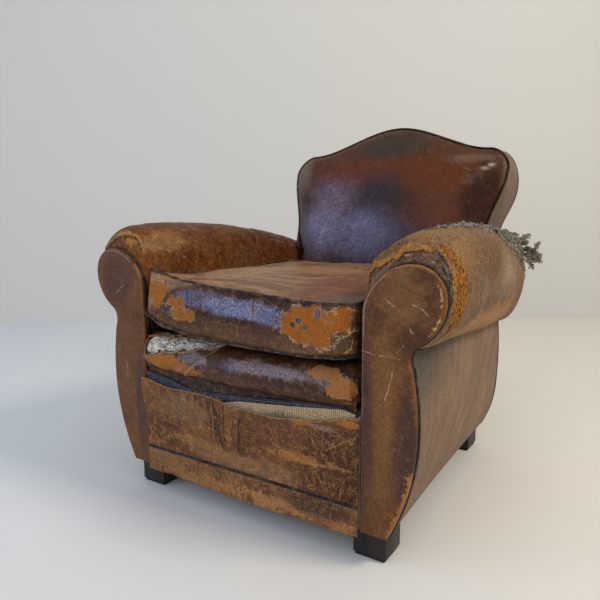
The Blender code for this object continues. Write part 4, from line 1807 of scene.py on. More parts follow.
    def build_flap(self) -> None:
        """The leather that has peeled up along the front tear."""
        s = unit(90)[None, :]
        across = unit(14)[:, None]
        degrees = mix(56.0, 146.0, s)
        edge = read_table(self.tear, degrees)
        uneven = 1 + 0.3 * ripple(at(s[0] * 0.2, 0.0, 0.0), 34, 19, 3)[None, :]
        wide = 0.0115 * np.sin(math.pi * s) ** 0.6 * uneven
        depth = edge + 0.0045 - across * (wide + 0.0045)
        high = np.interp(across, (0.0, 0.35, 0.7, 1.0), (0.0002, 0.0034, 0.0046, 0.0026))
        high = high * np.sin(math.pi * mix(0.06, 0.94, s)) ** 0.5
        degrees = degrees + 5.0 * across * np.sin(9.0 * s)
        points = self.on(depth, degrees, high)
        points = points + 0.0007 * np.stack(
            [flat_ripple(points, 55, seed) for seed in (20, 21, 22)], 2
        )
        raw = np.broadcast_to(ease(0.62, 0.7, across + 0.1 * np.sin(17 * s)), points.shape[:2])
        made_sheet(
            "right_arm_flap", points[:, ::-1], 0.0012, "flap", "leather_brown",
            layers={"raw": raw[:, ::-1]}
        )

    def build_lining(self) -> None:
        """A twisted strip of grey lining cloth that hangs out of the tear."""
        s = unit(40)[None, :]
        across = np.linspace(-1.0, 1.0, 6)[:, None]
        degrees = mix(58.0, 2.0, s)
        depth = read_table(self.tear, degrees) - 0.003 + 0.0022 * across * np.cos(7 * s)
        high = 0.0022 + 0.0016 * across * np.sin(7 * s) + 0.0008 * np.sin(31 * s)
        points = self.on(depth, degrees, high)
        made_sheet("right_arm_lining", points, 0.0007, "lining", "cambric")

    def build_facing(self) -> None:
        """The leather-covered facing with its rounded rim."""
        outline = LINES.facing_outline(3)
        levels = (
            (0.0034, 0.0036), (0.0034, 0.0088), (0.0006, 0.009), (0.0, 0.0084), (0.0, 0.0048),
            (0.0005, 0.0028), (0.0015, 0.0014), (0.003, 0.0005), (0.005, 0.0001), (0.0085, -0.0002)
        )
        rows, rim = [], []
        for number, (distance, depth) in enumerate(levels):
            loop = inset(outline, distance)
            rows.append(at(loop[:, 0] * self.side.value, depth, loop[:, 1]))
            rim.append(np.full(len(loop), distance if number > 2 else 0.0))
        for step in range(1, 8):
            loop = inset(loop, 0.001)
            for _ in range(6):
                loop = 0.5 * loop + 0.25 * (np.roll(loop, 1, 0) + np.roll(loop, -1, 0))
            rows.append(at(loop[:, 0] * self.side.value, -0.0003, loop[:, 1]))
            rim.append(np.full(len(loop), 0.0085 + 0.001 * step))
        points = np.array(rows)
        dent = 0.00035 * flat_ripple(points, 26, 21, 2)
        points[:, :, 1] += np.where(np.array(rim) > 0.002, dent, 0.0)
        label = self.side.label
        facing = laid_grid(
            f"{label}_facing", points, wrap=True, ends=True, layers={"rim": np.array(rim)}
        )
        shade(facing, 50)
        dress(facing, f"facing_{label}", "leather_brown", f"facing_cover_{label}")

    def build_piping(self) -> None:
        """Two thin cords side by side behind the facing, sewn as one piping."""
        outline = LINES.facing_outline(3)
        loop = inset(outline, -0.0006)
        top = next(i for i, p in enumerate(outline) if i > 60 and p[1] < 0.3)
        run = loop[:top]
        wave = ripple(np.column_stack([run, run[:, 0]]), 60, 31) * 0.0004
        cords = []
        for number, (depth, out) in enumerate(((0.0108, 0.0), (0.0138, 0.0003))):
            path = inset(run, -out) if out else run
            places = at(path[:, 0] * self.side.value, depth + wave * (1 - 2 * number), path[:, 1])
            cords.append(swept(f"cord_{number}", places, self.cord, sides=8))
        label = self.side.label
        piping = joined(f"{label}_facing_piping", cords)
        dress(piping, "piping", "piping_black", f"facing_piping_{label}")

    def build_outside(self) -> None:
        """The outside panel, pulled tight between its edges."""
        t = unit(120)
        depth = mix(LINES.arm_start, LINES.arm_end, t)
        top = Roll(self.side).panel_top(depth)
        z = mix(LINES.side_bottom, top[None, :], unit(70)[:, None])
        x = LINES.side_x(z, t[None, :])
        y = mix(LINES.arm_start, LINES.rear(z) - 0.0034, t[None, :])
        spots = at(x, y, z) + 5.0 * self.side.value
        middle = np.sin(math.pi * np.linspace(0, 1, 70))[:, None] * np.sin(math.pi * t)[None, :]
        x = x + middle**0.5 * (
            0.0012 * flat_ripple(spots, (6, 9, 5), 41) + 0.0005 * flat_ripple(spots, 40, 42)
        )
        points = at(x * self.side.value, y, z)
        if self.side is Side.LEFT:
            points = points[:, ::-1]
        label = self.side.label
        made_sheet(
            f"{label}_outside_arm", points, 0.003, "outside", "leather_outside",
            f"outside_arm_{label}"
        )


# --- back


@dataclass
class Back:
    """The back: its crowned pad, boxing band, outside panel and piping."""

    pad_depth: float = 0.028
    crown: float = 0.041
    centre: float = 0.64
    bottom: float = 0.378
    low_width: float = 0.2585
    band_side: float = 0.285
    leather: float = 0.003
    cord: float = 0.0018
    voxel: float = 0.0052
    swell_cap: float = 0.008

    def build(self) -> None:
        """Builds every piece of the back."""
        self.build_pad()
        self.build_band()
        self.build_outside()
        self.build_piping()

    def outline(self) -> Points:
        """The pad's outline as (x, z), counterclockwise from the lower right."""
        z = np.linspace(self.bottom, 0.545, 40)
        free = np.full(len(z), 1.0)
        for side in Side:
            roll = Roll(side)
            for depth in (0.56, 0.62, 0.68, 0.73):
                cx, cz, sx, sz, _, wall, _ = roll.ellipse(np.array(depth))
                share = np.clip((z - cz) / sz, 0.0, 1.0)
                curve = cx - sx * np.sqrt(1 - share**2)
                free = np.minimum(free, np.where(z < cz, np.minimum(wall, cx - sx), curve))
        width = np.minimum(np.where(z < 0.508, self.low_width, 0.284), free - 0.0025)
        high = back_half(0.0)
        high = high[high[:, 1] > 0.552]
        right = np.concatenate([np.column_stack([width, z]), high])
        left = right[:-1][::-1] * (-1, 1)
        return np.concatenate([right, left])

    def build_pad(self) -> None:
        """The inside back: a crowned pad swollen against its edge."""
        outline = self.outline()
        front, behind = inset(outline, self.leather + 0.0004), inset(outline, 0.01)
        rows = []
        for share in (0.3, 0.65, 0.9, 1.0):
            loop = behind * share + np.array([0, self.centre]) * (1 - share)
            rows.append(at(loop[:, 0], LINES.back_front(loop[:, 1]) + self.pad_depth, loop[:, 1]))
        for share in (
            1.0, 0.997, 0.985, 0.965, 0.94, 0.9, 0.86, 0.8, 0.72, 0.62, 0.5, 0.36, 0.2, 0.06
        ):
            loop = front * share + np.array([0, self.centre]) * (1 - share)
            out = self.crown * math.sqrt(1 - share**2)
            rows.append(at(loop[:, 0], LINES.back_front(loop[:, 1]) + 0.001 - out, loop[:, 1]))
        pad = laid_grid("inside_back", np.array(rows), wrap=True, ends=True)
        apply(pad, "REMESH", mode="VOXEL", voxel_size=self.voxel)
        apply(pad, "SMOOTH", factor=0.5, iterations=4)
        places = coords(pad)
        ahead = FRONT_Y + LINES.back_front(places[:, 2]) - places[:, 1]
        held = 1.0 - 0.98 * ease(0.004, 0.018, ahead)
        cloth_swell(pad, held, self.swell_cap)
        places = coords(pad)
        ahead = FRONT_Y + LINES.back_front(places[:, 2]) - places[:, 1]
        shown = ease(0.004, 0.02, ahead)
        dent = 0.0022 * ripple(places, (7, 4, 9), 51) + 0.0006 * ripple(places, 42, 52)
        ear = places - np.array([0.245, 0.0, 0.7])
        fold = ear[:, 0] * 0.94 + ear[:, 2] * 0.33
        dent -= 0.003 * bell(fold, 0.0, 0.01) * bell(places[:, 2], 0.7, 0.06)
        dent += 0.0016 * bell(fold, 0.016, 0.012) * bell(places[:, 2], 0.7, 0.06)
        push(pad, dent * shown)
        shade(pad, PAD_ANGLE)
        dress(pad, "back", "leather_dark", "back_pad")

    def path(self, share: float) -> Points:
        """The back's edge above the arms from right to left, at a share of its depth.

        Args:
            share: 0 at the front edge, 1 at the rear.

        Returns:
            Points (x, z).
        """
        half = back_half(share)
        ends, foot = {}, {}
        z = BACK_CURVES[0][0][0][1]
        for side in Side:
            for level, found in ((share, ends), (0.0, foot)):
                depth = mix(LINES.back_front(z), LINES.rear(z), level)
                reach = (depth - LINES.arm_start) / (
                    LINES.rear(z) - LINES.rear_tuck - LINES.arm_start
                )
                place = mix(LINES.arm_start, LINES.arm_end, min(1.0, reach))
                height = Roll(side).over(place, self.band_side) + 0.0012
                found[side] = np.array([self.band_side, height])
        first = int(np.argmax(back_half(0.0)[:, 1] > foot[Side.RIGHT][1] + 0.03))
        run = half[first:]
        left = np.concatenate([[ends[Side.LEFT]], run[:-1]])[::-1] * (-1, 1)
        lead = np.linspace(ends[Side.RIGHT], run[0], 8)[:-1]
        tail = np.linspace(left[-2], left[-1], 8)[1:]
        return np.concatenate([lead, run, left[:-1], tail])

    def build_band(self) -> None:
        """The boxing band round the back's edge, with a seam across it at each side."""
        rows = []
        for share in unit(16):
            line = self.path(share)
            z = line[:, 1]
            ends = LINES.back_front(z) + 0.0034, LINES.rear(z) - 0.0034
            puff = 0.0012 * math.sin(math.pi * share)
            line = shifted(line, -puff)
            rows.append(at(line[:, 0], mix(*ends, share), line[:, 1]))
        points = np.array(rows)
        points = points[::-1]
        normal = grid_normals(points)
        amount = 0.0007 * flat_ripple(points, 30, 61)
        for side in Side:
            seam = bell(points[:, :, 2], 0.7, 0.0022) * (points[:, :, 0] * side.value > 0)
            amount = amount - 0.0016 * seam
        points = points + normal * amount[:, :, None]
        made_sheet("back_boxing", points, self.leather, "band", "leather_outside", "back_band")

    def rear_half(self) -> Points:
        """Right-hand half of the rear outline, from the bottom to the crest."""
        z = np.linspace(LINES.side_bottom, 0.33, 40)
        low = np.column_stack([LINES.side_x(z, 1.0), z])
        middle = bezier(BEHIND_ARM, 32)
        return np.concatenate([low, middle, back_half(1.0)[1:]])

    def build_outside(self) -> None:
        """The outside back, tacked on behind."""
        half = shifted(self.rear_half(), 0.0039)
        across = np.linspace(-1.0, 1.0, 90)
        x = np.maximum(half[:, :1], 0.004) * across[None, :]
        z = np.broadcast_to(half[:, 1:], x.shape)
        depth = LINES.rear(z) + 0.0015
        spots = at(x, depth, z)
        depth = depth + 0.0008 * flat_ripple(spots, (6, 6, 5), 71) * (1 - across[None, :] ** 8)
        points = at(x, depth, z)[:, ::-1]
        made_sheet(
            "rear_cover", points, self.leather, "outside_back", "leather_outside", "outside_back"
        )

    def build_piping(self) -> None:
        """The cord round the front edge and the one round the rear."""
        line = shifted(self.path(0.0), 0.0006)
        wave = 0.0005 * ripple(np.column_stack([line, line[:, 0]]), 40, 81)
        places = at(line[:, 0], LINES.back_front(line[:, 1]) + wave, line[:, 1])
        welt = swept("back_front_piping", places, self.cord)
        dress(welt, "back_piping", "piping_black", "back_piping_front")
        half = self.rear_half()
        line = np.concatenate([half, half[:-1][::-1] * (-1, 1)])
        line = shifted(line, 0.0004)
        places = at(line[:, 0], LINES.rear(line[:, 1]), line[:, 1])
        welt = swept("back_rear_piping", places, self.cord)
        dress(welt, "piping", "piping_black", "rear_piping")


# --- seat


@dataclass
class Cushion:
    """The loose seat cushion: a boxed case with piping along both seams."""

    half: float = 0.264
    front: float = -0.016
    rear: float = 0.574
    corner: float = 0.036
    swell: float = 0.006
    rest: float = 0.3748
    cord: float = 0.0031
    voxel: float = 0.0055
    swell_cap: float = 0.01
    seam_top: tuple = (
        (-0.225, 0.513), (-0.16, 0.504), (-0.105, 0.493), (0.05, 0.483), (0.15, 0.477),
        (0.27, 0.479)
    )
    seam_low: tuple = (
        (-0.242, 0.418), (-0.185, 0.397), (-0.13, 0.386), (-0.02, 0.38), (0.15, 0.3775),
        (0.27, 0.386)
    )

    def build(self) -> None:
        """Builds the case and both cords."""
        self.build_case()
        self.build_piping()

    def top(self, x: Points, depth: Points) -> Points:
        """Height of the upper seam."""
        share = np.exp(-np.maximum(0.0, depth) / 0.1)
        return mix(0.48, soft_line(self.seam_top, x, 0.02, 7), share)

    def low(self, x: Points, depth: Points) -> Points:
        """Height of the lower seam."""
        share = np.exp(-np.maximum(0.0, depth) / 0.05)
        return mix(0.3785, soft_line(self.seam_low, x, 0.02, 7), share)

    def plan(self, grow: float) -> Points:
        """The case's plan as (x, depth), counterclockwise from the front right corner.

        Args:
            grow: How far it is moved outwards.

        Returns:
            The plan's points.
        """
        r = self.corner
        half = self.half - self.swell - r
        corners = (
            (half, self.front + r, -90), (half, self.rear - r, 0), (-half, self.rear - r, 90),
            (-half, self.front + r, 180)
        )
        loop = []
        for x, depth, start in corners:
            for a in np.radians(np.linspace(start, start + 90, 13)):
                loop.append((x + (r + grow) * math.cos(a), depth + (r + grow) * math.sin(a)))
        loop = np.array(loop)
        out = []
        for a, b in zip(loop, np.roll(loop, -1, 0)):
            parts = max(1, round(float(np.linalg.norm(b - a)) / 0.005))
            out += [mix(a, b, k / parts) for k in range(parts)]
        return np.array(out)

    def drawn(self, places: Points) -> Points:
        """Places of the case with its front left corner drawn in towards the top.

        Args:
            places: The places.

        Returns:
            The places moved.
        """
        x, depth = places[:, 0], places[:, 1] - FRONT_Y
        low = self.low(x, depth)
        level = np.clip((places[:, 2] - low) / (self.top(x, depth) - low), 0.0, 1.0)
        near = np.exp(-np.maximum(0.0, depth - self.front) / 0.075)
        side = np.clip((-0.13 - x) / 0.13, 0.0, 1.0) ** 2
        moved = places.copy()
        moved[:, 0] += 0.02 * near * side * level**0.8
        moved[:, 1] += 0.004 * near * side * level
        return moved

    def build_case(self) -> None:
        """The case, swollen between its seams and sagging where it is sat on."""
        case = self.plan(0.0)
        middle = np.array([0.0, (self.front + self.rear) / 2])
        rows = []
        for share in np.concatenate([[0.05, 0.2, 0.4, 0.6, 0.75, 0.85], np.linspace(0.9, 1.0, 6)]):
            loop = mix(middle, case, share)
            rows.append(at(*loop.T, mix(self.rest, self.low(*case.T), share**20)))
        for level in unit(16)[1:-1]:
            puff = self.swell * 0.6 * math.sin(math.pi * level) ** 0.6
            loop = self.plan(puff)
            height = mix(self.low(*loop.T), self.top(*loop.T), level)
            rows.append(at(loop[:, 0], loop[:, 1], height))
        rises = (
            (0.0, 0.001), (0.25, 0.003), (0.55, 0.006), (0.8, 0.006), (0.94, 0.002), (1.0, 0.0)
        )
        for share in (
            1.0, 0.985, 0.965, 0.94, 0.9, 0.85, 0.79, 0.72, 0.64, 0.55, 0.45, 0.34, 0.22, 0.1, 0.03
        ):
            loop = mix(middle, case, share)
            height = mix(0.478, self.top(*loop.T), share**3) + read_table(rises, share)
            rows.append(at(loop[:, 0], loop[:, 1], height))
        case_piece = laid_grid("seat_cushion_case", np.array(rows), wrap=True, ends=True)
        apply(case_piece, "REMESH", mode="VOXEL", voxel_size=self.voxel)
        apply(case_piece, "SMOOTH", factor=0.5, iterations=3)
        cloth_swell(case_piece, self.held(coords(case_piece)), self.swell_cap)
        self.crease(case_piece)
        put(case_piece, self.drawn(coords(case_piece)))
        shade(case_piece, PAD_ANGLE)
        dress(case_piece, "cushion", "leather_brown", "seat_cushion")

    def held(self, places: Points) -> Points:
        """How firmly each place stays: the seams and the underside.

        Args:
            places: The case's places.

        Returns:
            From 0, free, to 1, held.
        """
        depth = places[:, 1] - FRONT_Y
        edge = self.edge_distance(places)
        top = self.top(places[:, 0], depth)
        low = self.low(places[:, 0], depth)
        seam = np.minimum(np.hypot(places[:, 2] - top, edge), np.hypot(places[:, 2] - low, edge))
        firm = 1.0 - ease(0.004, 0.012, seam)
        under = 1.0 - ease(0.0, 0.006, places[:, 2] - low)
        return np.clip(np.maximum(firm, under), 0.02, 1.0)

    def edge_distance(self, places: Points) -> Points:
        """Distance in plan from the case's edge, counted inwards.

        Args:
            places: The case's places.

        Returns:
            One distance a place.
        """
        r = self.corner
        half = self.half - self.swell
        middle = (self.front + self.rear) / 2
        away = np.abs(places[:, 0]) - (half - r)
        along = np.abs(places[:, 1] - FRONT_Y - middle) - ((self.rear - self.front) / 2 - r)
        outside = np.hypot(np.maximum(away, 0), np.maximum(along, 0))
        inside = np.minimum(np.maximum(away, along), 0.0)
        return np.abs(r - outside - inside)

    def crease(self, piece: Piece) -> None:
        """Gives the case its sag, folds and puckers.

        Args:
            piece: The case.
        """
        places = coords(piece)
        depth = places[:, 1] - FRONT_Y
        x, z = places[:, 0], places[:, 2]
        top = self.top(x, depth)
        upper = ease(-0.004, 0.004, z - top + 0.002) * ease(0.006, 0.03, self.edge_distance(places))
        side = (1 - ease(-0.006, 0.0, z - top)) * ease(0.0, 0.006, z - self.low(x, depth))
        dent = upper * (
            0.0045 * ripple(places, (6, 5, 6), 91) + 0.0016 * ripple(
                places, (26, 12, 20), 92
            ) + 0.0004 * ripple(places, 70, 93)
        )
        dent += side * (0.0012 * ripple(places, (22, 22, 12), 94) + 0.0005 * ripple(places, 80, 95))
        seam = np.minimum(np.abs(z - top), np.abs(z - self.low(x, depth)))
        around = np.where(np.abs(x) > self.half - 0.03, places[:, 1], x)
        pucker = np.sin(around * 330 + 4.0 * ripple(places, 25, 96, 2))
        dent += side * 0.0008 * pucker * np.exp(-seam / 0.01)
        push(piece, dent)

    def build_piping(self) -> None:
        """The worn cord along each seam, uneven from long use."""
        loop = self.plan(self.cord + 0.0004)
        spots = at(loop[:, 0], loop[:, 1], 0.0)
        for name, height, node, seed in (
            ("cushion_top_piping", self.top(*loop.T) + 0.0005, "cushion_piping_top", 101),
            ("cushion_low_piping", self.low(*loop.T) - 0.0005, "cushion_piping_bottom", 103)
        ):
            rise = 0.0012 * ripple(spots, 38, seed, 3)
            places = self.drawn(at(loop[:, 0], loop[:, 1], height + rise))
            size = self.cord * (0.86 + 0.16 * ripple(spots, 120, seed + 1, 2))
            cord = swept(name, places, size, closed=True)
            dress(cord, "cushion_piping", "piping_black", node)


@dataclass
class Lip:
    """The stuffed roll at the seat's front, its leather torn open at the left."""

    half: float = 0.264
    centre: tuple = (0.033, 0.3178)
    radius: tuple = (0.0455, 0.0349)
    lift: float = 0.01
    fullness: float = 0.68
    gap: float = 0.0012
    leather: float = 0.003
    torn: tuple = (
        (-0.264, 62), (-0.2595, 56), (-0.2535, -5), (-0.235, 0), (-0.205, 15), (-0.13, 38),
        (-0.066, 66), (-0.045, 98), (-0.03, 118)
    )

    def build(self) -> None:
        """Builds the stuffing, the leather and the loose fibres."""
        self.build_wadding()
        self.build_cover()
        self.build_fibres()

    def place(self, x: Points, angle: Points, grow: Values) -> Points:
        """A place round the roll, from the front, 0, over the top.

        Args:
            x: Half-widths.
            angle: Angles round the roll.
            grow: How far out of the roll.

        Returns:
            The places.
        """
        lift = self.lift * (x / self.half) ** 2
        narrow = 1 - 0.1 * bell(x, -self.half, 0.03) - 0.45 * ease(0.2515, 0.265, x) ** 2
        wide = self.radius[0] * narrow + grow
        high = self.radius[1] * narrow + grow
        fore = np.cos(angle)
        fore = np.where((np.sin(angle) < 0) & (fore > 0), np.abs(fore) ** self.fullness, fore)
        return at(x, self.centre[0] - wide * fore, self.centre[1] + lift + high * np.sin(angle))

    def edge(self, x: Points) -> Points:
        """Degrees round the roll at which the leather ends, by x."""
        return read_table(self.torn, x)

    def build_wadding(self) -> None:
        """The matted stuffing."""
        x = np.linspace(-self.half + 0.004, self.half - 0.009, 200)[:, None]
        angle = np.linspace(0, 2 * math.pi, 90, endpoint=False)[None, :]
        x, angle = np.broadcast_arrays(x, angle)
        points = self.place(x, angle, 0.0)
        bare = 1 - ease(-0.08, -0.03, x)
        lump = 0.0032 * bare * flat_ripple(points, (45, 120, 120), 111, 4) - 0.0006
        points = self.place(x, angle, lump)
        piece = laid_grid("seat_lip_wadding", points, wrap=True, ends=True)
        shade(piece, ANY_ANGLE)
        # Its finish is darker than the strands over it, partly painted shade between them.
        dress(piece, "wadding", "wadding", "lip_wadding")

    def build_cover(self) -> None:
        """The leather, drawn down under the roll, with its torn edge turned up."""
        x, level = sheet_axes(-self.half, self.half, 260, 60)
        torn = np.clip((-0.035 - x) / 0.03, 0.0, 1.0)
        spots = at(x[0], 0.0, 0.3)
        rag = 5.0 * ripple(spots, 70, 121, 4) * torn[0]
        angle = mix(np.radians(-78.0), np.radians(self.edge(x[0]) + rag), level)
        x, angle, torn = np.broadcast_arrays(x, angle, torn)
        curl = ease(0.88, 1.0, level) * torn * 0.0036
        points = self.place(x, angle, self.gap + self.leather + curl)
        lumps = 0.0018 * flat_ripple(
            points, (14, 20, 20), 122
        ) + 0.0007 * flat_ripple(points, 55, 123)
        line = (x + 0.0995) * 0.6 - (points[:, :, 2] - 0.33) * 0.8
        near = x < -0.03
        lumps = lumps - 0.0016 * bell(line, 0.0, 0.0028) * near
        lumps = lumps + 0.0018 * bell(line, 0.006, 0.005) * near
        lumps = lumps + 0.0012 * flat_ripple(points, (6, 60, 60), 124, 2) * bell(x, -0.03, 0.05)
        points = self.place(x, angle, self.gap + self.leather + curl + np.maximum(lumps, -0.001))
        raw = torn * ease(0.955, 0.985, level) + bell(line, 0.003, 0.0016) * (x < -0.05)
        made_sheet(
            "seat_lip_cover", points, 0.0022, "lip", "leather_dark", "lip_cover",
            layers={"raw": np.clip(raw, 0, 1)}
        )
        self.build_top_piece()
        self.build_apron()

    def build_top_piece(self) -> None:
        """What is left of the leather over the top of the roll, above the tear."""
        x, level = sheet_axes(-self.half + 0.002, -0.1, 90, 22)
        low = np.interp(x[0], (-0.262, -0.2, -0.15, -0.1), (58, 70, 88, 112))
        low = low + 5.0 * ripple(at(x[0], 0.1, 0.3), 70, 125, 4)
        angle = np.radians(mix(low, 122.0, level))
        x, angle = np.broadcast_arrays(x, angle)
        lift = self.gap + self.leather + 0.004 * (1 - ease(0.0, 0.3, level))
        lift = lift + 0.001 * flat_ripple(self.place(x, angle, 0.0), 40, 126)
        raw = 1 - ease(0.03, 0.1, np.broadcast_to(level, x.shape))
        made_sheet(
            "seat_lip_top", self.place(x, angle, lift), 0.002, "torn_leather", "leather_dark",
            layers={"raw": raw}
        )

    def build_apron(self) -> None:
        """The leather's lower end, tucked in behind the binding."""
        x = np.linspace(-self.half + 0.002, self.half - 0.002, 90)[None, :]
        lines = [
            self.place(x, np.radians(degrees), self.gap + self.leather + rise)[0] for degrees,
            rise in ((-34.0, -0.001), (-42.0, 0.0004), (-50.0, 0.0008))
        ]
        for depth, z in (
            (-0.0012, 0.286), (0.002, 0.2825), (0.003, 0.278), (0.0028, 0.266), (0.0028, 0.252)
        ):
            share = ease(0.252, 0.2825, np.array(z))
            rise = self.lift * (x[0] / self.half) ** 2 * share
            lines.append(at(x[0], depth, z + rise))
        # The lip finish paints this near black, as shade under the roll.
        made_sheet("seat_lip_apron", np.array(lines)[::-1], 0.0006, "lip", "leather_dark")

    def outward(self, path: Points, height: Values) -> tuple:
        """A path laid on the roll, and whether all of it is clear of the leather.

        Args:
            path: Places along the path.
            height: How far above the roll it lies.

        Returns:
            The laid path, and whether it is clear.
        """
        turn = np.arctan2(path[:, 2] - self.centre[1], self.centre[0] - (path[:, 1] - FRONT_Y))
        x = np.clip(path[:, 0], -0.2575, 0.255)
        clear = np.all(
            (np.degrees(turn) > self.edge(x) + 3) & (np.degrees(turn) < 118) & (x < -0.05)
        )
        return self.place(x, turn, height), bool(clear)

    def build_fibres(self) -> None:
        """Strands of wadding that swirl in the tear."""
        rng = np.random.default_rng(7)
        strands = Strands(6)
        for number in range(620):
            x = rng.uniform(-0.257, -0.055)
            angle = math.radians(rng.uniform(float(self.edge(np.array(x))), 116))
            start = self.place(np.array(x), np.array(angle), 0.0)
            way = (1.0, rng.normal(0, 0.35), rng.normal(0, 0.3))
            path = wandering(rng, start, way, rng.uniform(0.012, 0.05), 0.2)
            path, clear = self.outward(path, rng.uniform(0.0005, 0.004))
            thick = rng.uniform(0.0012, 0.0026) if number % 3 else 0.0005
            if clear:
                strands.add(path, np.sin(np.linspace(0.35, 2.8, len(path))) * thick)
        for _ in range(46):
            turn = np.linspace(0, rng.uniform(2.5, 5.5), 18) + rng.uniform(0, 6)
            size = np.linspace(rng.uniform(0.012, 0.019), rng.uniform(0.004, 0.01), 18)
            x = -0.2375 + rng.uniform(-0.003, 0.012) + size * 0.8 * np.cos(turn)
            angle = np.radians(34) + size * 0.95 * np.sin(turn) / self.radius[1]
            x = np.clip(x, -0.257, 0.2)
            path = self.place(x, angle, 0.0015 + rng.uniform(0.0, 0.0035))
            strands.add(path, rng.uniform(0.0008, 0.002))
        piece = strands.mesh("seat_lip_fibres")
        dress(piece, "wadding_pale", "wadding")


# --- border


@dataclass
class Border:
    """The front border: slack leather panel, torn binding, hessian and bottom strip."""

    half: float = 0.27
    bottom: float = 0.11
    face: float = -0.0018
    leather: float = 0.003
    strip_top: float = 0.103
    strip_bottom: float = 0.05
    panel_edge: tuple = (
        (-0.279, 0.268), (-0.24, 0.263), (-0.206, 0.256), (-0.171, 0.2548), (-0.081, 0.255),
        (-0.061, 0.252), (-0.022, 0.2462), (0.027, 0.2432), (0.09, 0.2434), (0.129, 0.2495),
        (0.169, 0.253), (0.21, 0.261), (0.241, 0.271), (0.264, 0.2745)
    )
    band_edge: tuple = (
        (-0.271, 0.283), (-0.191, 0.272), (-0.16, 0.264), (-0.131, 0.2595), (-0.085, 0.261),
        (-0.025, 0.267), (0.024, 0.271), (0.106, 0.279), (0.158, 0.285), (0.207, 0.289),
        (0.239, 0.29), (0.256, 0.286), (0.266, 0.28)
    )

    def build(self) -> None:
        """Builds every piece of the border."""
        self.build_panel()
        self.build_band()
        self.build_hessian()
        self.build_piping()
        self.build_strip()
        self.build_threads()

    def top(self, x: Points) -> Points:
        """Height of the panel's slack upper edge."""
        return soft_line(self.panel_edge, x, 0.01, 5)

    def band_top(self, x: Points) -> Points:
        """Height of the binding's upper edge."""
        return soft_line(self.band_edge, x, 0.01, 5)

    def band_low(self, x: Points) -> Points:
        """Height of the binding's lower edge.

        Args:
            x: Half-widths.

        Returns:
            The heights.
        """
        return self.band_top(x) - np.interp(
            x, (-0.1, 0.0, 0.157, 0.207, 0.262), (0.03, 0.0145, 0.013, 0.0105, 0.006)
        )

    def build_panel(self) -> None:
        """The leather panel, swollen low down, its free edge gaping."""
        x, level = sheet_axes(-self.half, self.half, 180, 66)
        edge = self.top(x) + 0.001 * ripple(at(x[0], 0.0, 0.0), 70, 131, 3)[None, :]
        z = mix(self.bottom, edge, level)
        swell = 0.006 * np.sin(math.pi * level) * np.cos(math.pi * x / 2 / self.half)
        depth = self.face - self.leather - swell
        spots = at(x, depth, z)
        folds = 0.0016 * flat_ripple(spots, (9, 9, 14), 132) + 0.0006 * flat_ripple(spots, 50, 133)
        line = (z - 0.178) + (x - 0.19) * 0.12
        folds -= 0.0014 * bell(line, 0.0, 0.005) * ease(0.08, 0.14, x)
        folds += 0.0012 * bell(line, 0.01, 0.008) * ease(0.08, 0.14, x)
        sag = (z - 0.152) + (x + 0.12) * 0.36
        folds -= 0.001 * bell(sag, 0.0, 0.004) * bell(x, -0.1, 0.07)
        gape = 0.003 * ease(0.9, 1.0, level) * bell(x, 0.09, 0.12)
        still = np.minimum(1.0, (1 - np.abs(x) / self.half) * 14)
        depth = depth - np.clip(folds, -0.002, 0.004) * still * ease(0.0, 0.06, level) - gape
        corner = ease(0.15, 0.262, z) * ease(-0.1, -0.27, x)
        points = at(x - 0.0085 * corner, depth - 0.0035 * corner, z)
        rough = flat_ripple(points, 120, 134, 3)
        raw = ease(0.984, 0.994, level + 0.008 * rough)
        made_sheet(
            "border_cover", points, 0.0024, "border", "leather_brown", "border_panel",
            layers={"raw": raw}
        )

    def build_band(self) -> None:
        """The black binding that has come away, with its rows of stitches."""
        x, level = sheet_axes(-0.266, 0.266, 170, 14)
        low = self.band_low(x)
        z = mix(low, self.band_top(x), level)
        depth = 0.0005 + 0.0007 * flat_ripple(at(x, 0.0, z), 45, 141)
        depth = depth - 0.0018 * bell(level, 0.86, 0.1) - 0.001 * bell(level, 0.45, 0.12)
        made_sheet("border_binding", at(x, depth, z), 0.0014, "binding", "cambric", "border_band")
        stitches = Strands(5)
        for drop, pitch, long in ((0.005, 0.0062, 0.004), (0.01, 0.02, 0.0006)):
            for place in np.arange(-0.262, 0.258, pitch):
                top = float(self.band_top(np.array(place)))
                start = np.array([place, FRONT_Y - 0.0009, top - drop])
                path = start + np.linspace(0, 1, 5)[:, None] * np.array([long, 0.0, 0.004 - long])
                path[:, 1] -= 0.0006 * np.sin(np.linspace(0, math.pi, 5))
                stitches.add(path, 0.00036)
        piece = stitches.mesh("border_stitches")
        dress(piece, "thread", "jute")

    def build_hessian(self) -> None:
        """The hessian that shows where the panel has dropped."""
        x, level = sheet_axes(-0.04, 0.262, 120, 10)
        z = mix(self.top(x) - 0.014, self.band_low(x) + 0.003, level)
        depth = -0.0013 + 0.0005 * flat_ripple(at(x, 0.0, z), 60, 151)
        piece = made_sheet(
            "border_cloth", at(x, depth, z), 0.0008, "hessian", "jute", "border_hessian"
        )

    def build_piping(self) -> None:
        """Two cords side by side between the panel and the bottom strip."""
        x = np.linspace(-0.2675, 0.2675, 140)
        cords = []
        for number, height in enumerate((0.1046, 0.1082)):
            wave = 0.0004 * ripple(at(x, 0.0, 0.0), 50, 161 + number, 3)
            cords.append(
                swept(f"edge_{number}", at(x, -0.0036 + wave, height + wave), 0.002, sides=8)
            )
        piece = joined("border_double_piping", cords)
        dress(piece, "piping", "piping_black", "border_piping")

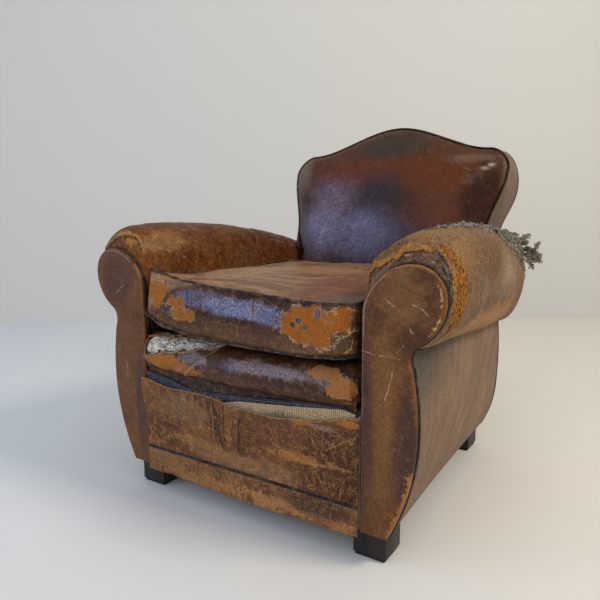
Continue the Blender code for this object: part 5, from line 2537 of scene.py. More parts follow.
    def build_strip(self) -> None:
        """The bottom strip with its frayed lower edge."""
        x = np.linspace(-0.269, 0.269, 260)[None, :]
        spots = at(x[0], 0.0, 0.0)
        low = self.strip_bottom - 0.005 * bell(x, 0.02, 0.12)
        low = low + 0.0022 * ripple(spots, 30, 171, 5)[None, :]
        level = unit(26)[:, None]
        z = mix(low, self.strip_top, level)
        depth = -0.0048 + 0.0009 * flat_ripple(at(x, 0.0, z), (16, 16, 26), 172)
        worn = 1 - ease(0.0, 0.35, level)
        depth = depth - 0.0012 * worn * flat_ripple(at(x, 0.0, z), 40, 173, 2)
        made_sheet(
            "border_bottom_strip", at(x, depth, z), 0.0022, "strip", "leather_brown", "border_strip"
        )

    def build_threads(self) -> None:
        """Frayed threads along the torn edges."""
        rng = np.random.default_rng(11)
        threads = Strands(4)
        for number in range(150):
            x = rng.normal(0.102, 0.016) if number < 80 else rng.uniform(-0.26, 0.25)
            z = float(self.top(np.array(x))) + rng.uniform(0.0, 0.007)
            start = (x, FRONT_Y - 0.004, z)
            path = wandering(
                rng, start, (rng.normal(0, 1.0), -0.15, rng.normal(0.1, 0.4)),
                rng.uniform(0.006, 0.02), 0.25
            )
            path[:, 1] = np.clip(path[:, 1], FRONT_Y - 0.0075, FRONT_Y - 0.0022)
            threads.add(path, 0.00028)
        piece = threads.mesh("border_threads")
        dress(piece, "thread_grey", "jute")


# --- loose stuffing


@dataclass
class ArmStuffing:
    """Matted stuffing that shows where the right arm's rear end is torn.

    Each hank is four places and a thickness, in millimetres.
    """

    arm: Arm
    node: str = "arm_tuft"
    hanks: tuple = (
        (303, 322, 556, 318, 340, 560, 334, 345, 562, 349, 350, 552, 6.2),
        (333, 345, 543, 349, 345, 545, 358, 350, 557, 369, 352, 556, 5.2),
        (340, 345, 541, 353, 345, 538, 362, 345, 538, 371, 348, 544, 4),
        (322, 318, 552, 333, 335, 541, 341, 345, 527, 346, 345, 512, 5.8),
        (338, 325, 520, 352, 345, 523, 374, 350, 524, 394, 350, 515, 6.4),
        (343, 325, 507, 363, 345, 512, 384, 352, 508, 405, 350, 504, 6),
        (382, 350, 512, 398, 350, 508, 406, 345, 499, 402, 345, 488, 5.2),
        (366, 345, 500, 374, 345, 490, 385, 345, 480, 381, 345, 470, 3.6),
        (362, 340, 506, 376, 345, 497, 390, 348, 494, 400, 345, 490, 4.4),
        (384, 348, 520, 392, 350, 528, 395, 350, 536, 398, 350, 542, 3),
        (324, 318, 541, 340, 321, 522, 354, 321, 501, 366, 318, 486, 4.6),
        (296, 316, 566, 309, 320, 556, 322, 322, 545, 330, 322, 534, 4.8)
    )

    def build(self) -> None:
        """Builds the clumps of felted yarn and the fringe along the tear."""
        self.build_yarn()
        self.build_fringe()

    def build_yarn(self) -> None:
        """Thick felted lumps with a haze of fine hairs about them."""
        rng = np.random.default_rng(23)
        yarn = Strands(7)
        share = unit(22)
        for *flat, wide_mm in self.hanks:
            ends, size = np.reshape(flat, (-1, 3)) / 1000, wide_mm / 1000
            core = bezier(ends, len(share)) * 0.5 + 0.5 * np.stack(
                [np.interp(share, np.linspace(0, 1, len(ends)), axis) for axis in zip(*ends)], 1
            )
            for _ in range(9):
                turn = share * rng.uniform(3.0, 9.0) * rng.choice((-1, 1)) + rng.uniform(0, 6.3)
                wide = size * rng.uniform(0.25, 1.05)
                stray = np.cumsum(rng.normal(0, 0.0008, (len(share), 3)), 0)
                spiral = np.stack([np.cos(turn), np.sin(turn * 1.3), np.sin(turn)], 1)
                thick = size * rng.uniform(0.3, 0.66) * (
                    1 + 0.28 * rng.normal(size=len(share)).clip(-1, 1)
                )
                first, last = sorted(rng.integers(0, len(share), 2))
                run = slice(first, max(last, first + 9))
                taper = np.sin(np.linspace(0.35, 2.8, len(share[run]))) ** 0.5
                yarn.add((core + spiral * wide + stray)[run], thick[run] * taper)
            for _ in range(15):
                way = rng.normal(size=3)
                start = core[rng.integers(len(core))] + way / np.linalg.norm(way) * size * 0.9
                path = wandering(rng, start, way, rng.uniform(0.004, 0.012), 0.5, 7)
                yarn.add(path, np.linspace(0.00055, 0.0002, len(path)))
            for _ in range(12):
                middle = core[rng.integers(len(core))] + rng.normal(size=3) * size * 0.7
                turn = np.linspace(0, rng.uniform(3.0, 6.0), 11) + rng.uniform(0, 6.3)
                a, b = (v / np.linalg.norm(v) for v in rng.normal(size=(2, 3)))
                ring = rng.uniform(0.002, 0.0042)
                path = middle + ring * (np.cos(turn)[:, None] * a + np.sin(turn)[:, None] * b)
                yarn.add(path, rng.uniform(0.0007, 0.0014))
        piece = yarn.mesh("right_arm_yarn")
        dress(piece, "tuft", "wadding", self.node)

    def build_fringe(self) -> None:
        """Threads and wisps that lie in the bare strip along the arm's top."""
        rng = np.random.default_rng(29)
        threads = Strands(5)
        for number in range(900):
            depth = rng.uniform(0.13, 0.71)
            low = float(read_table(self.arm.rear_tear, depth))
            degrees = rng.uniform(low + 1, 110)
            steps = 10
            drift = np.cumsum(rng.normal(0, 1, (2, steps)), 1)
            length = rng.uniform(0.01, 0.032)
            run = np.linspace(0, length, steps) * rng.choice((-1, 1))
            if number % 2:
                places_at = depth + run, degrees + 1.6 * drift[0]
            else:
                places_at = depth + 0.0034 * drift[0], degrees + run * 330
            rise = 0.001 + 0.0028 * np.sin(np.linspace(0.1, 3.0, steps)) * rng.uniform(0.2, 1.0)
            if number % 9 == 0:
                rise = rise + np.linspace(0.0, rng.uniform(0.003, 0.008), steps)
            path = self.arm.on(
                np.clip(places_at[0], 0.03, 0.735), np.clip(places_at[1], 0, 125), rise
            )
            threads.add(path, np.sin(np.linspace(0.4, 2.7, steps)) * rng.uniform(0.0005, 0.0019))
        piece = threads.mesh("right_arm_fringe")
        dress(piece, "tuft", "wadding")


# --- feet and underside


@dataclass
class Feet:
    """Four stained blocks on felt pads."""

    bevel: float = 0.0016
    rebate: float = 0.0052

    def build(self) -> None:
        """Builds each block."""
        for side in Side:
            for end in ("front", "rear"):
                node = f"foot_{end}_{side.label}"
                low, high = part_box(node)
                top = high.z - self.rebate
                deselect()
                centre = ((low.x + high.x) / 2, (low.y + high.y) / 2, (low.z + top) / 2)
                bpy.ops.mesh.primitive_cube_add(size=1.0, location=centre)
                block = bpy.context.object
                block.scale = (high.x - low.x, high.y - low.y, top - low.z)
                bpy.ops.object.transform_apply(location=True, rotation=True, scale=True)
                block.name = block.data.name = f"{end}_{side.label}_foot_block"
                apply(block, "BEVEL", width=self.bevel, segments=3)
                shade(block, 40)
                dress(block, "foot", "foot_stain", node)


@dataclass
class Underside:
    """The black cloth tacked under the seat."""

    node: str = "dust_cover"
    sag: float = 0.0012

    def build(self) -> None:
        """Lays the cloth out between the feet, sagging a little."""
        low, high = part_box(self.node)
        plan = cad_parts[self.node]
        corners = sorted({round(abs(v.co.x), 4) for v in plan.data.vertices})
        rear_foot, front_foot, edge = corners[0], corners[1], corners[-1]
        depths = sorted({round(v.co.y, 4) for v in plan.data.vertices})
        deselect()
        bpy.ops.mesh.primitive_grid_add(x_subdivisions=84, y_subdivisions=92, size=1.0)
        cloth = bpy.context.object
        cloth.name = cloth.data.name = "seat_dust_cloth"
        places = coords(cloth)
        u, v = places[:, 0] * 2, places[:, 1] + 0.5
        y = mix(low.y, high.y, v)
        wide = np.where(y < depths[1], front_foot, np.where(y > depths[-2], rear_foot, edge))
        z = low.z + 0.0004 + self.sag * ripple(np.column_stack([u, y, y]), 6, 181, 2) * 0.3
        put(cloth, np.column_stack([u * wide, y, z]))
        solid_sheet(cloth, 0.0008)
        dress(cloth, "cambric", "cambric", self.node)


# --- carried solids


def dress_frame() -> None:
    """Gives each carried solid its finish."""
    kinds = {"foot_pad": "felt", "jute": "webbing", "spring_steel": "spring"}
    for name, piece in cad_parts.items():
        if piece.hide_render:
            continue
        for place in piece.material_slots:
            kind = place.material.name.split(".")[0]
            finish = kinds.get(kind, kind)
            if finish in FINISHES:
                place.material = FINISHES[finish]
            else:
                LOG.warning("%s has no finish for %s", name, kind)


# --- this chair's finishes

# Tables give colours in thousandths and lengths in millimetres.
STAIN, BLOOM, SUEDE, SKIN = Layer
FRONT = 1000 * FRONT_Y
ORANGE = (330, 115, 18)
TAN = (360, 180, 65)
PALE = (460, 310, 190)
NEARLY_BLACK = (14, 9, 7)
# The pink of a painted highlight along a facing's inner rim.
HIGHLIGHT_PINK = (300, 180, 150)
# The lavender of a painted sheen, the cool window's reflection.
SHEEN_LAVENDER = (150, 160, 270)

CUSHION = Leather(
    dye=(0.2, 0.095, 0.04), deep=(0.095, 0.038, 0.016), rubbed=(0.3, 0.18, 0.1), cloud=8.0,
    mottle=0.3, streak=(5.0, 34.0, 24.0), streak_colour=(0.33, 0.185, 0.095), streak_share=0.8,
    contrast=0.44, nap=0.2, rim=(0.62, 0.43, 0.26), crack=0.75, crack_size=135.0,
    crack_centre=(0.01, -0.455, 0.455), crack_radii=(0.22, 0.03, 0.045),
    crack_colour=(0.022, 0.012, 0.014), rough=0.38, flecks=0.8,
    patches=made_patches(
        (STAIN, (70, 26, 13), 20, -455, 440, 300, 20, 60, 0.2, 0.2),
        (STAIN, (44, 12, 7), 40, -455, 473, 220, 20, 15, 0.5),
        (STAIN, (34, 9, 4), 20, -455, 445, 210, 20, 30, 0.6),
        (STAIN, (100, 46, 20), -20, -455, 393, 240, 20, 18, 1.2, 0.5, 0.8),
        (STAIN, (240, 130, 70), -225, -450, 475, 60, 30, 60, 0.7),
        # Painted sheen: the cool window's reflection along the boxing's middle.
        (BLOOM, SHEEN_LAVENDER, -85, -455, 463, 85, 30, 22, 0.7),
        (BLOOM, (260, 300, 500), 15, -455, 452, 115, 30, 24, 0.7),
        (BLOOM, (200, 220, 380), 100, -455, 441, 62, 30, 18, 0.8),
        (SUEDE, ORANGE, -205, -450, 466, 36, 40, 34, 1.5),
        (SUEDE, ORANGE, -152, -455, 442, 30, 20, 26, 1.2),
        (SUEDE, ORANGE, -135, -455, 425, 40, 20, 16, 1.4),
        (SUEDE, (350, 100, 9), 187, -450, 436, 80, 40, 41),
        (SUEDE, (340, 98, 9), 238, -445, 448, 32, 40, 30),
        (SUEDE, ORANGE, 53, -455, 456, 4, 20, 12, 0.5), (SUEDE, TAN, -150, -455, 500, 90, 20, 5),
        (SKIN, (55, 30, 32), -175, -455, 434, 21, 20, 14),
        (SKIN, (110, 85, 110), 195, -455, 458, 8, 20, 12, 0.5),
        (SKIN, (50, 24, 18), 142, -455, 433, 8, 20, 6, 0.5),
        (SKIN, (90, 65, 80), 155, -455, 442, 8, 20, 7, 0.5),
        (SKIN, (120, 60, 30), 170, -455, 431, 6, 20, 5, 0.5),
        (SKIN, (90, 45, 22), 243, -450, 412, 26, 20, 21, 0.6),
        # Painted shade: darker at the cushion's right end, against the arm.
        (STAIN, (40, 12, 4), 266, -425, 425, 22, 40, 70, 0.4),
        (STAIN, (130, 40, 14), 190, -300, 482, 150, 200, 40, 0.9, 0.7),
        (STAIN, (380, 230, 130), -140, -230, 490, 110, 200, 40, 1.4, 0.5, 0.6),
        (STAIN, (330, 150, 55), 20, -100, 485, 200, 80, 40, 1.2, 0.5, 0.6),
        (STAIN, (120, 60, 30), -10, -400, 485, 120, 30, 20, 0.8, 0.8),
        (STAIN, (120, 75, 50), 235, -400, 485, 60, 50, 20, 0.8),
        (STAIN, (330, 170, 70), -190, -400, 500, 60, 60, 20, 1)
    ),
    scratches=made_scratches(
        ((30, 15, 12), 53, -455, 476, 52, -456, 452, 1.8),
        ((30, 15, 12), -110, -456, 484, -118, -456, 455, 1),
        ((90, 40, 20), -57, -300, 484, -110, -60, 482, 2.2, 0.6, 2),
        ((400, 190, 70), -10, -180, 482, 150, -120, 482, 2, 0.6, 2),
        ((380, 200, 90), 60, -300, 482, 220, -230, 482, 1.5, 0.6, 2),
        ((60, 26, 14), 10, -240, 482, 60, -60, 482, 2.4, 0.5, 2),
        ((360, 200, 100), -150, -360, 490, 20, -330, 482, 1.4, 0.5, 2),
        ((330, 160, 60), 10, -458, 470, 48, -458, 462, 0.9, 0.6),
        ((330, 160, 60), 75, -458, 480, 110, -458, 462, 0.9, 0.6),
        ((300, 150, 60), -50, -458, 420, 30, -458, 416, 1, 0.6),
        ((70, 32, 16), -130, -300, 486, 80, -150, 482, 3, 0.5, 2),
        ((380, 210, 100), -60, -390, 484, 190, -330, 482, 2.2, 0.5, 2),
        ((60, 24, 12), 20, -350, 482, 230, -290, 482, 2.2, 0.5, 2),
        ((420, 240, 110), -180, -150, 484, -20, -40, 482, 2.2, 0.5, 2),
        ((50, 20, 12), 90, -200, 482, 200, -60, 482, 3, 0.5, 2),
        ((400, 200, 80), 120, -250, 482, 240, -150, 482, 1.4, 0.6, 2)
    )
)

FACING = Leather(
    dye=(0.158, 0.055, 0.013), deep=(0.095, 0.034, 0.011), rubbed=(0.2, 0.09, 0.032), cloud=7.0,
    mottle=0.35, contrast=0.24, flecks=0.4, fray=0.8, rough=0.36, rough_range=0.12
)

FACING_LEFT = replace(
    FACING,
    patches=made_patches(
        (STAIN, (80, 32, 12), -352, FRONT, 480, 55, 30, 75, 0.7),
        (STAIN, (75, 30, 20), -290, FRONT, 200, 20, 30, 160, 0.5)
    ),
    rims=made_rims(
        ((230, 100, 30), -276, FRONT, 440, 30, 50, 120, 4.2, 1, 1.6, 0.7),
        # Painted highlight along the inner rim at the top.
        (HIGHLIGHT_PINK, -330, FRONT, 548, 60, 50, 30, 1.6, 4.6, 0.3, 0.6)
    ),
    scratches=made_scratches(
        (PALE, -330, FRONT, 470, -355, FRONT, 450, 1, 0.5),
        (PALE, -335, FRONT, 300, -330, FRONT, 255, 0.9, 0.4)
    )
)

FACING_RIGHT = replace(
    FACING,
    patches=made_patches(
        (STAIN, (68, 26, 22), 270, FRONT, 270, 34, 30, 260, 0.3, 0.7),
        (STAIN, (66, 25, 18), 364, FRONT, 220, 36, 30, 200, 0.3, 0.7),
        (STAIN, (190, 80, 26), 345, FRONT, 490, 60, 30, 70, 1, 0.5, 0.7),
        (STAIN, (215, 92, 26), 314, FRONT, 290, 28, 30, 230, 0.4, 0.8, 0.7),
        (STAIN, (75, 24, 10), 375, FRONT, 425, 50, 30, 40, 0.8)
    ),
    rims=made_rims(
        ((210, 70, 12), 425, FRONT, 478, 45, 50, 62, 11, 0, 1.4, 0.8),
        ((560, 390, 180), 412, FRONT, 452, 28, 50, 28, 3, 4.5, 4, 0.9, 0.75),
        ((480, 320, 140), 424, FRONT, 500, 24, 50, 40, 2, 7, 6, 0.9, 0.9),
        ((240, 95, 25), 350, FRONT, 560, 70, 50, 32, 4.5, 0, 1.6, 0.85),
        ((200, 75, 18), 378, FRONT, 345, 30, 50, 70, 6, 0, 3, 0.7),
        ((380, 170, 40), 368, FRONT, 115, 60, 50, 85, 8, 0, 2.6),
        ((330, 130, 30), 352, FRONT, 70, 30, 50, 30, 9, 0, 2),
        # Painted highlights along the inner rim.
        (HIGHLIGHT_PINK, 283, FRONT, 500, 40, 50, 80, 1.7, 4.6, 0.3, 0.75),
        (HIGHLIGHT_PINK, 272, FRONT, 300, 12, 50, 260, 1.3, 3, 0.4, 0.6)
    ),
    scratches=made_scratches(
        (PALE, 272, FRONT, 398.5, 343, FRONT, 391.5, 0.9, 0.6),
        (PALE, 339, FRONT, 402, 352, FRONT, 418, 0.9, 0.6),
        (PALE, 317.5, FRONT, 318, 323.5, FRONT, 339, 1.1, 0.7),
        (PALE, 323.5, FRONT, 339, 329, FRONT, 365, 1.1, 0.7),
        (PALE, 314, FRONT, 491, 332, FRONT, 480, 1, 0.6),
        (PALE, 364, FRONT, 488, 391, FRONT, 472, 1.2, 0.7),
        (PALE, 359, FRONT, 452, 366.5, FRONT, 438, 1, 0.6),
        (PALE, 277.7, FRONT, 462, 285, FRONT, 452, 0.9, 0.5),
        (NEARLY_BLACK, 330, FRONT, 520, 390, FRONT, 500, 1, 0.4)
    )
)

ARM_LEFT = Leather(
    dye=(0.16, 0.044, 0.005), deep=(0.082, 0.022, 0.004), rubbed=(0.23, 0.1, 0.032), cloud=8.0,
    mottle=0.26, streak=(8.0, 40.0, 8.0), streak_colour=(0.21, 0.078, 0.018), streak_share=0.28,
    contrast=0.34, crack=0.18, crack_colour=(0.3, 0.13, 0.04), rough=0.33, rough_range=0.14,
    gloss=0.1, flecks=0.7, painted=True,
    patches=made_patches(
        (STAIN, (75, 34, 14), -355, -150, 602, 62, 300, 30, 0.6),
        (STAIN, (240, 150, 100), -290, -375, 560, 22, 36, 22, 1.3),
        (STAIN, (210, 95, 30), -300, -330, 555, 40, 90, 45, 1.1),
        (STAIN, (62, 11, 1), -285, 130, 535, 90, 330, 85, 0.6),
        (STAIN, (85, 30, 8), -280, -80, 515, 40, 120, 45, 0.7, 0.7),
        # Painted shade: near black low on the inner arm's front, in the gap beside the cushion.
        (STAIN, NEARLY_BLACK, -268, -415, 330, 30, 90, 105, 0.3),
        (SUEDE, (330, 140, 35), -330, -404, 558, 26, 12, 22, 1.6),
        (SUEDE, (300, 125, 30), -352, -408, 590, 34, 8, 14, 1.6)
    ),
    scratches=made_scratches(
        (TAN, -310, -300, 590, -296, -200, 584, 1, 0.6, 0),
        (PALE, -300, -380, 570, -290, -330, 584, 1, 0.6, 0),
        (TAN, -300, -180, 572, -290, -140, 550, 0.9, 0.6, 0),
        (TAN, -290, -150, 530, -285, -80, 524, 0.9, 0.6, 0),
        (PALE, -290, -50, 560, -285, 10, 575, 0.8, 0.5, 0),
        (TAN, -290, 80, 548, -285, 150, 532, 0.9, 0.5, 0),
        (PALE, -283, -370, 552, -270, -300, 525, 1.2, 0.6, 0),
        (TAN, -300, -340, 577, -285, -290, 560, 1.2, 0.7, 0),
        (PALE, -290, -330, 548, -285, -300, 565, 0.9, 0.7, 0),
        (TAN, -290, -310, 530, -285, -240, 537, 1, 0.7, 0),
        (TAN, -290, -260, 560, -285, -200, 548, 0.9, 0.6, 0),
        (NEARLY_BLACK, -272, -60, 545, -268, 20, 500, 1.2, 0.6, 0),
        (TAN, -300, -120, 580, -280, 60, 555, 1, 0.5, 0)
    )
)

ARM_RIGHT = Leather(
    dye=(0.19, 0.098, 0.044), deep=(0.115, 0.06, 0.027), rubbed=(0.33, 0.215, 0.125), nap=0.95,
    fray=0.5, cloud=10.0, mottle=0.5, streak=(6.0, 170.0, 6.0), streak_colour=(0.31, 0.225, 0.15),
    streak_share=0.45, contrast=0.52, rough=0.6, gloss=0.16, flecks=0.75,
    fleck_colour=(0.5, 0.27, 0.09), grain=0.0002, suede_deep=(0.04, 0.013, 0.004),
    rim=(0.46, 0.25, 0.09), painted=True,
    patches=made_patches(
        (STAIN, (200, 110, 40), 350, -330, 600, 70, 120, 30),
        (STAIN, (230, 115, 42), 405, -340, 560, 40, 60, 50, 1.3),
        (STAIN, (240, 195, 160), 420, -200, 500, 60, 50, 100, 1.2, 1.2, 0.6),
        (STAIN, (350, 260, 185), 400, 60, 490, 70, 240, 90, 0.8, 1.2, 0.7),
        (STAIN, (460, 240, 90), 395, -140, 380, 120, 360, 70, 0.8, 0.5, 0.8),
        (STAIN, (115, 50, 18), 410, -130, 540, 55, 150, 60, 1.3, 0.5, 0.7),
        (STAIN, (105, 60, 42), 350, -418, 560, 80, 12, 55, 0.2),
        (STAIN, (150, 105, 90), 288, -418, 530, 30, 12, 50, 0.8),
        (SUEDE, (420, 155, 8), 420, -379, 496, 60, 35, 74, 1.1),
        (SUEDE, (330, 110, 10), 404, -392, 560, 34, 16, 26, 1.6)
    ),
    scratches=made_scratches(
        (NEARLY_BLACK, 291, -418, 552, 323, -418, 570, 1.6),
        (NEARLY_BLACK, 323, -418, 572, 372, -418, 580, 1.6),
        (PALE, 336, -418, 566, 364, -418, 568, 1.3),
        (PALE, 300, -418, 548, 330, -418, 562, 1.1, 0.7),
        (PALE, 372, -418, 566, 391, -418, 556, 1.1, 0.7),
        (NEARLY_BLACK, 284, -418, 530, 300, -418, 545, 1.4),
        (NEARLY_BLACK, 395, -418, 560, 412, -418, 535, 1.6)
    )
)

OUTSIDE = Leather(
    dye=(0.275, 0.168, 0.098), deep=(0.175, 0.11, 0.068), rubbed=(0.33, 0.22, 0.14), cloud=6.0,
    mottle=0.3, streak=(26.0, 1.4, 3.0), streak_centre=(-0.49, -0.14),
    streak_colour=(0.34, 0.235, 0.158), streak_share=0.42, contrast=0.34, rough=0.55, gloss=0.14,
    flecks=0.1,
    patches=made_patches(
        # Greyer and darker along the top, under the roll: grey wear with painted shade.
        (STAIN, (90, 74, 60), 360, -400, 405, 90, 330, 150, 0.4, 0.8),
        (STAIN, (130, 98, 70), 400, -430, 250, 90, 45, 300, 0.4, 0.9),
        # Greyer and darker along the top, under the roll: grey wear with painted shade.
        (STAIN, (110, 82, 58), -360, -400, 410, 90, 280, 115, 0.4, 0.9)
    )
)

BAND = replace(
    OUTSIDE, dye=(0.2, 0.14, 0.105), deep=(0.14, 0.096, 0.072), rubbed=(0.26, 0.19, 0.14),
    streak=(5.0, 60.0, 5.0), streak_centre=None, streak_colour=(0.25, 0.185, 0.14), contrast=0.22,
    patches=()
)

OUTSIDE_BACK = replace(OUTSIDE, streak=(40.0, 6.0, 4.0), streak_centre=None, patches=())

BACK = Leather(
    dye=(0.085, 0.03, 0.013), deep=(0.05, 0.017, 0.008), rubbed=(0.125, 0.055, 0.026), cloud=6.0,
    mottle=0.3, contrast=0.3, crack=0.8, crack_size=170.0, crack_colour=(0.022, 0.014, 0.018),
    crack_centre=(-0.08, 0.19, 0.6), crack_radii=(0.26, 0.2, 0.2), rough=0.28, rough_range=0.12,
    gloss=0.24, flecks=0.3, fleck_colour=(0.23, 0.11, 0.05),
    patches=made_patches(
        (STAIN, (135, 28, 8), -90, 230, 730, 190, 100, 60, 0.5, 0.7),
        (STAIN, (115, 27, 4), 140, 240, 720, 190, 120, 90, 0.6, 0.7),
        (STAIN, (110, 30, 12), 160, 200, 620, 130, 120, 80, 0.6, 0.8),
        (STAIN, (34, 8, 1), 280, 240, 640, 80, 120, 140, 0.4),
        (STAIN, (46, 32, 21), 0, 275, 815, 150, 80, 50, 0.4, 0.6),
        (STAIN, (32, 23, 34), -20, 210, 665, 115, 100, 105, 0.5, 0.8),
        # Painted sheen: the cool window's reflection over the lower left, a bluish tint under
        # lavender and blue.
        (STAIN, (64, 56, 92), -30, 190, 555, 200, 100, 100, 0.4, 0.7),
        (BLOOM, (330, 330, 520), -195, 170, 590, 125, 120, 140, 0.5, 1),
        (BLOOM, (190, 195, 340), -50, 190, 560, 150, 110, 120, 0.6, 1.1),
        (BLOOM, (230, 180, 260), -170, 220, 670, 120, 110, 80, 0.6, 1.1),
        (STAIN, (150, 110, 82), -300, 260, 735, 55, 120, 85, 0.4, 0.8),
        (STAIN, (130, 92, 72), -295, 220, 610, 30, 120, 110, 0.3, 0.9),
        (STAIN, (150, 85, 55), 240, 262, 765, 100, 50, 18, 0.8, 0.9),
        # Painted highlight: the glint along the right ear.
        (BLOOM, (460, 400, 330), 270, 262, 736, 18, 50, 8, 0.9, 0.9),
        (BLOOM, (560, 500, 430), 285, 262, 744, 16, 50, 8, 0.9, 0.8),
        (STAIN, (140, 75, 48), 325, 262, 700, 18, 50, 60, 0.6, 0.9)
    ),
    scratches=made_scratches(
        # A broad pale streak along the right ear, a painted highlight.
        ((150, 80, 45), 225, 262, 705, 290, 262, 745, 13, 0.4),
        ((360, 190, 80), 170, 262, 772, 215, 262, 762, 1.1),
        (TAN, 205, 250, 745, 232, 250, 733, 0.9, 0.7), (TAN, -40, 250, 690, 10, 250, 700, 0.8, 0.5),
        (TAN, 140, 250, 665, 190, 250, 690, 0.8, 0.5),
        (TAN, 106, 277, 797, 116, 277, 780, 0.9, 0.6), (TAN, 60, 220, 650, 85, 220, 628, 0.8, 0.5),
        (TAN, 230, 220, 660, 250, 220, 640, 0.8, 0.5),
        (NEARLY_BLACK, -200, 230, 720, -160, 230, 690, 1, 0.5)
    )
)

LIP = Leather(
    painted=True, dye=(0.088, 0.033, 0.014), deep=(0.036, 0.012, 0.006), rubbed=(0.17, 0.09, 0.048),
    cloud=12.0, mottle=0.28, contrast=0.34, crack=0.5, crack_size=120.0,
    crack_colour=(0.02, 0.01, 0.009), rough=0.34, gloss=0.3, flecks=0.8, fray=0.5,
    patches=made_patches(
        # Painted sheen: reflections along the roll's middle, lavender and pink.
        (BLOOM, (190, 160, 190), -110, -450, 333, 50, 40, 16, 0.7),
        (BLOOM, (85, 88, 140), -5, -450, 333, 45, 40, 16, 0.8),
        (BLOOM, (230, 170, 190), 90, -450, 337, 140, 40, 16),
        (SUEDE, (370, 120, 14), -195, -450, 316, 60, 40, 22, 1.2),
        (SUEDE, (300, 110, 30), -140, -450, 305, 50, 40, 14, 1.8),
        (SUEDE, (380, 160, 50), 200, -440, 348, 45, 30, 12),
        (SUEDE, (360, 140, 35), 238, -450, 330, 36, 30, 22, 1.3),
        (SKIN, (90, 70, 90), 205, -450, 334, 14, 30, 6),
        # Painted shade: near black under the roll and down the apron, where the roll shades it.
        (STAIN, (10, 4, 3), 0, -435, 274, 420, 50, 28, 0.4, 0.6)
    ),
    scratches=made_scratches((TAN, 100, -440, 350, 180, -440, 352, 1, 0.6))
)

BORDER = Leather(
    painted=True, dye=(0.19, 0.074, 0.023), deep=(0.08, 0.026, 0.01), rubbed=(0.28, 0.132, 0.048),
    cloud=9.0, mottle=0.34, contrast=0.32, fleck_colour=(0.56, 0.26, 0.075), gloss=0.2, crack=0.28,
    crack_size=120.0, crack_colour=(0.33, 0.16, 0.055), crack_centre=(0.15, -0.44, 0.2),
    crack_radii=(0.18, 0.05, 0.11), rough=0.42, flecks=1.0, fray=0.6,
    patches=made_patches(
        (STAIN, (165, 80, 36), -150, -440, 215, 110, 30, 40, 1),
        (STAIN, (250, 130, 60), 20, -440, 130, 200, 30, 25, 1, 0.5, 0.7),
        (STAIN, (60, 19, 10), 215, -440, 165, 105, 30, 115, 0.7),
        (STAIN, (110, 38, 20), 90, -440, 215, 80, 30, 50),
        # Painted shade: darker at the right edge, in the gap against the facing.
        (STAIN, (40, 12, 6), 262, -440, 175, 42, 30, 130, 0.6),
        (STAIN, (300, 135, 42), -120, -441, 148, 110, 20, 14, 1.6, 0.5, 0.6),
        (SUEDE, (300, 125, 36), 140, -444, 174, 75, 20, 11, 2.2),
        (SUEDE, ORANGE, 150, -444, 246, 30, 20, 5, 0.8),
        (SUEDE, ORANGE, 246, -444, 262, 26, 20, 8, 1),
        # Painted sheen: a grey-pink reflection near the top right.
        (BLOOM, (250, 160, 140), 195, -444, 244, 30, 20, 7, 0.6)
    ),
    scratches=made_scratches(
        (NEARLY_BLACK, -82, -443, 246, -70, -445, 190, 1.8),
        (NEARLY_BLACK, -70, -443, 250, -56, -445, 178, 2.6, 0.9),
        (NEARLY_BLACK, -60, -443, 228, -40, -445, 150, 2.6, 0.9),
        (NEARLY_BLACK, -52, -443, 246, -48, -445, 200, 1.7),
        (NEARLY_BLACK, -40, -443, 244, -36, -445, 165, 2, 0.85),
        (NEARLY_BLACK, -12, -443, 225, -14, -445, 160, 1.6, 0.75),
        (NEARLY_BLACK, 4, -443, 224, 2, -445, 156, 2.6, 0.9),
        (ORANGE, -190, -440, 178, -120, -442, 152, 2.4, 0.5),
        (ORANGE, -105, -440, 150, -35, -442, 124, 2.6, 0.6),
        (TAN, -110, -440, 195, -10, -442, 176, 1.4, 0.45),
        (TAN, 90, -442, 192, 150, -444, 168, 2.6, 0.7),
        (TAN, 150, -444, 168, 255, -442, 174, 2.4, 0.7),
        (TAN, -265, -437, 150, -230, -438, 125, 2, 0.6),
        (TAN, 150, -444, 240, 190, -444, 200, 1, 0.7),
        (TAN, 165, -444, 245, 225, -444, 212, 1, 0.7),
        (TAN, 262, -444, 240, 205, -444, 205, 1.1, 0.7),
        (TAN, 200, -444, 236, 196, -444, 186, 0.9, 0.6),
        (TAN, 180, -444, 155, 215, -444, 118, 1, 0.6),
        (TAN, 225, -444, 160, 205, -444, 122, 0.9, 0.6),
        (NEARLY_BLACK, -200, -440, 236, -150, -441, 205, 1.2, 0.5),
        (TAN, 170, -444, 238, 178, -444, 205, 0.8, 0.7),
        (TAN, 178, -444, 205, 210, -444, 190, 0.8, 0.7),
        (TAN, 205, -444, 240, 240, -444, 228, 0.8, 0.6),
        (TAN, 235, -444, 215, 248, -444, 185, 0.9, 0.7),
        (TAN, 150, -444, 150, 175, -444, 128, 0.8, 0.6),
        (TAN, 190, -444, 150, 200, -444, 110, 0.8, 0.6),
        (TAN, 240, -444, 152, 232, -444, 115, 0.9, 0.7),
        (TAN, 60, -444, 224, 110, -444, 214, 0.8, 0.5),
        (TAN, -235, -440, 220, -205, -440, 196, 0.9, 0.5),
        (TAN, -160, -441, 232, -140, -441, 212, 0.8, 0.5)
    )
)

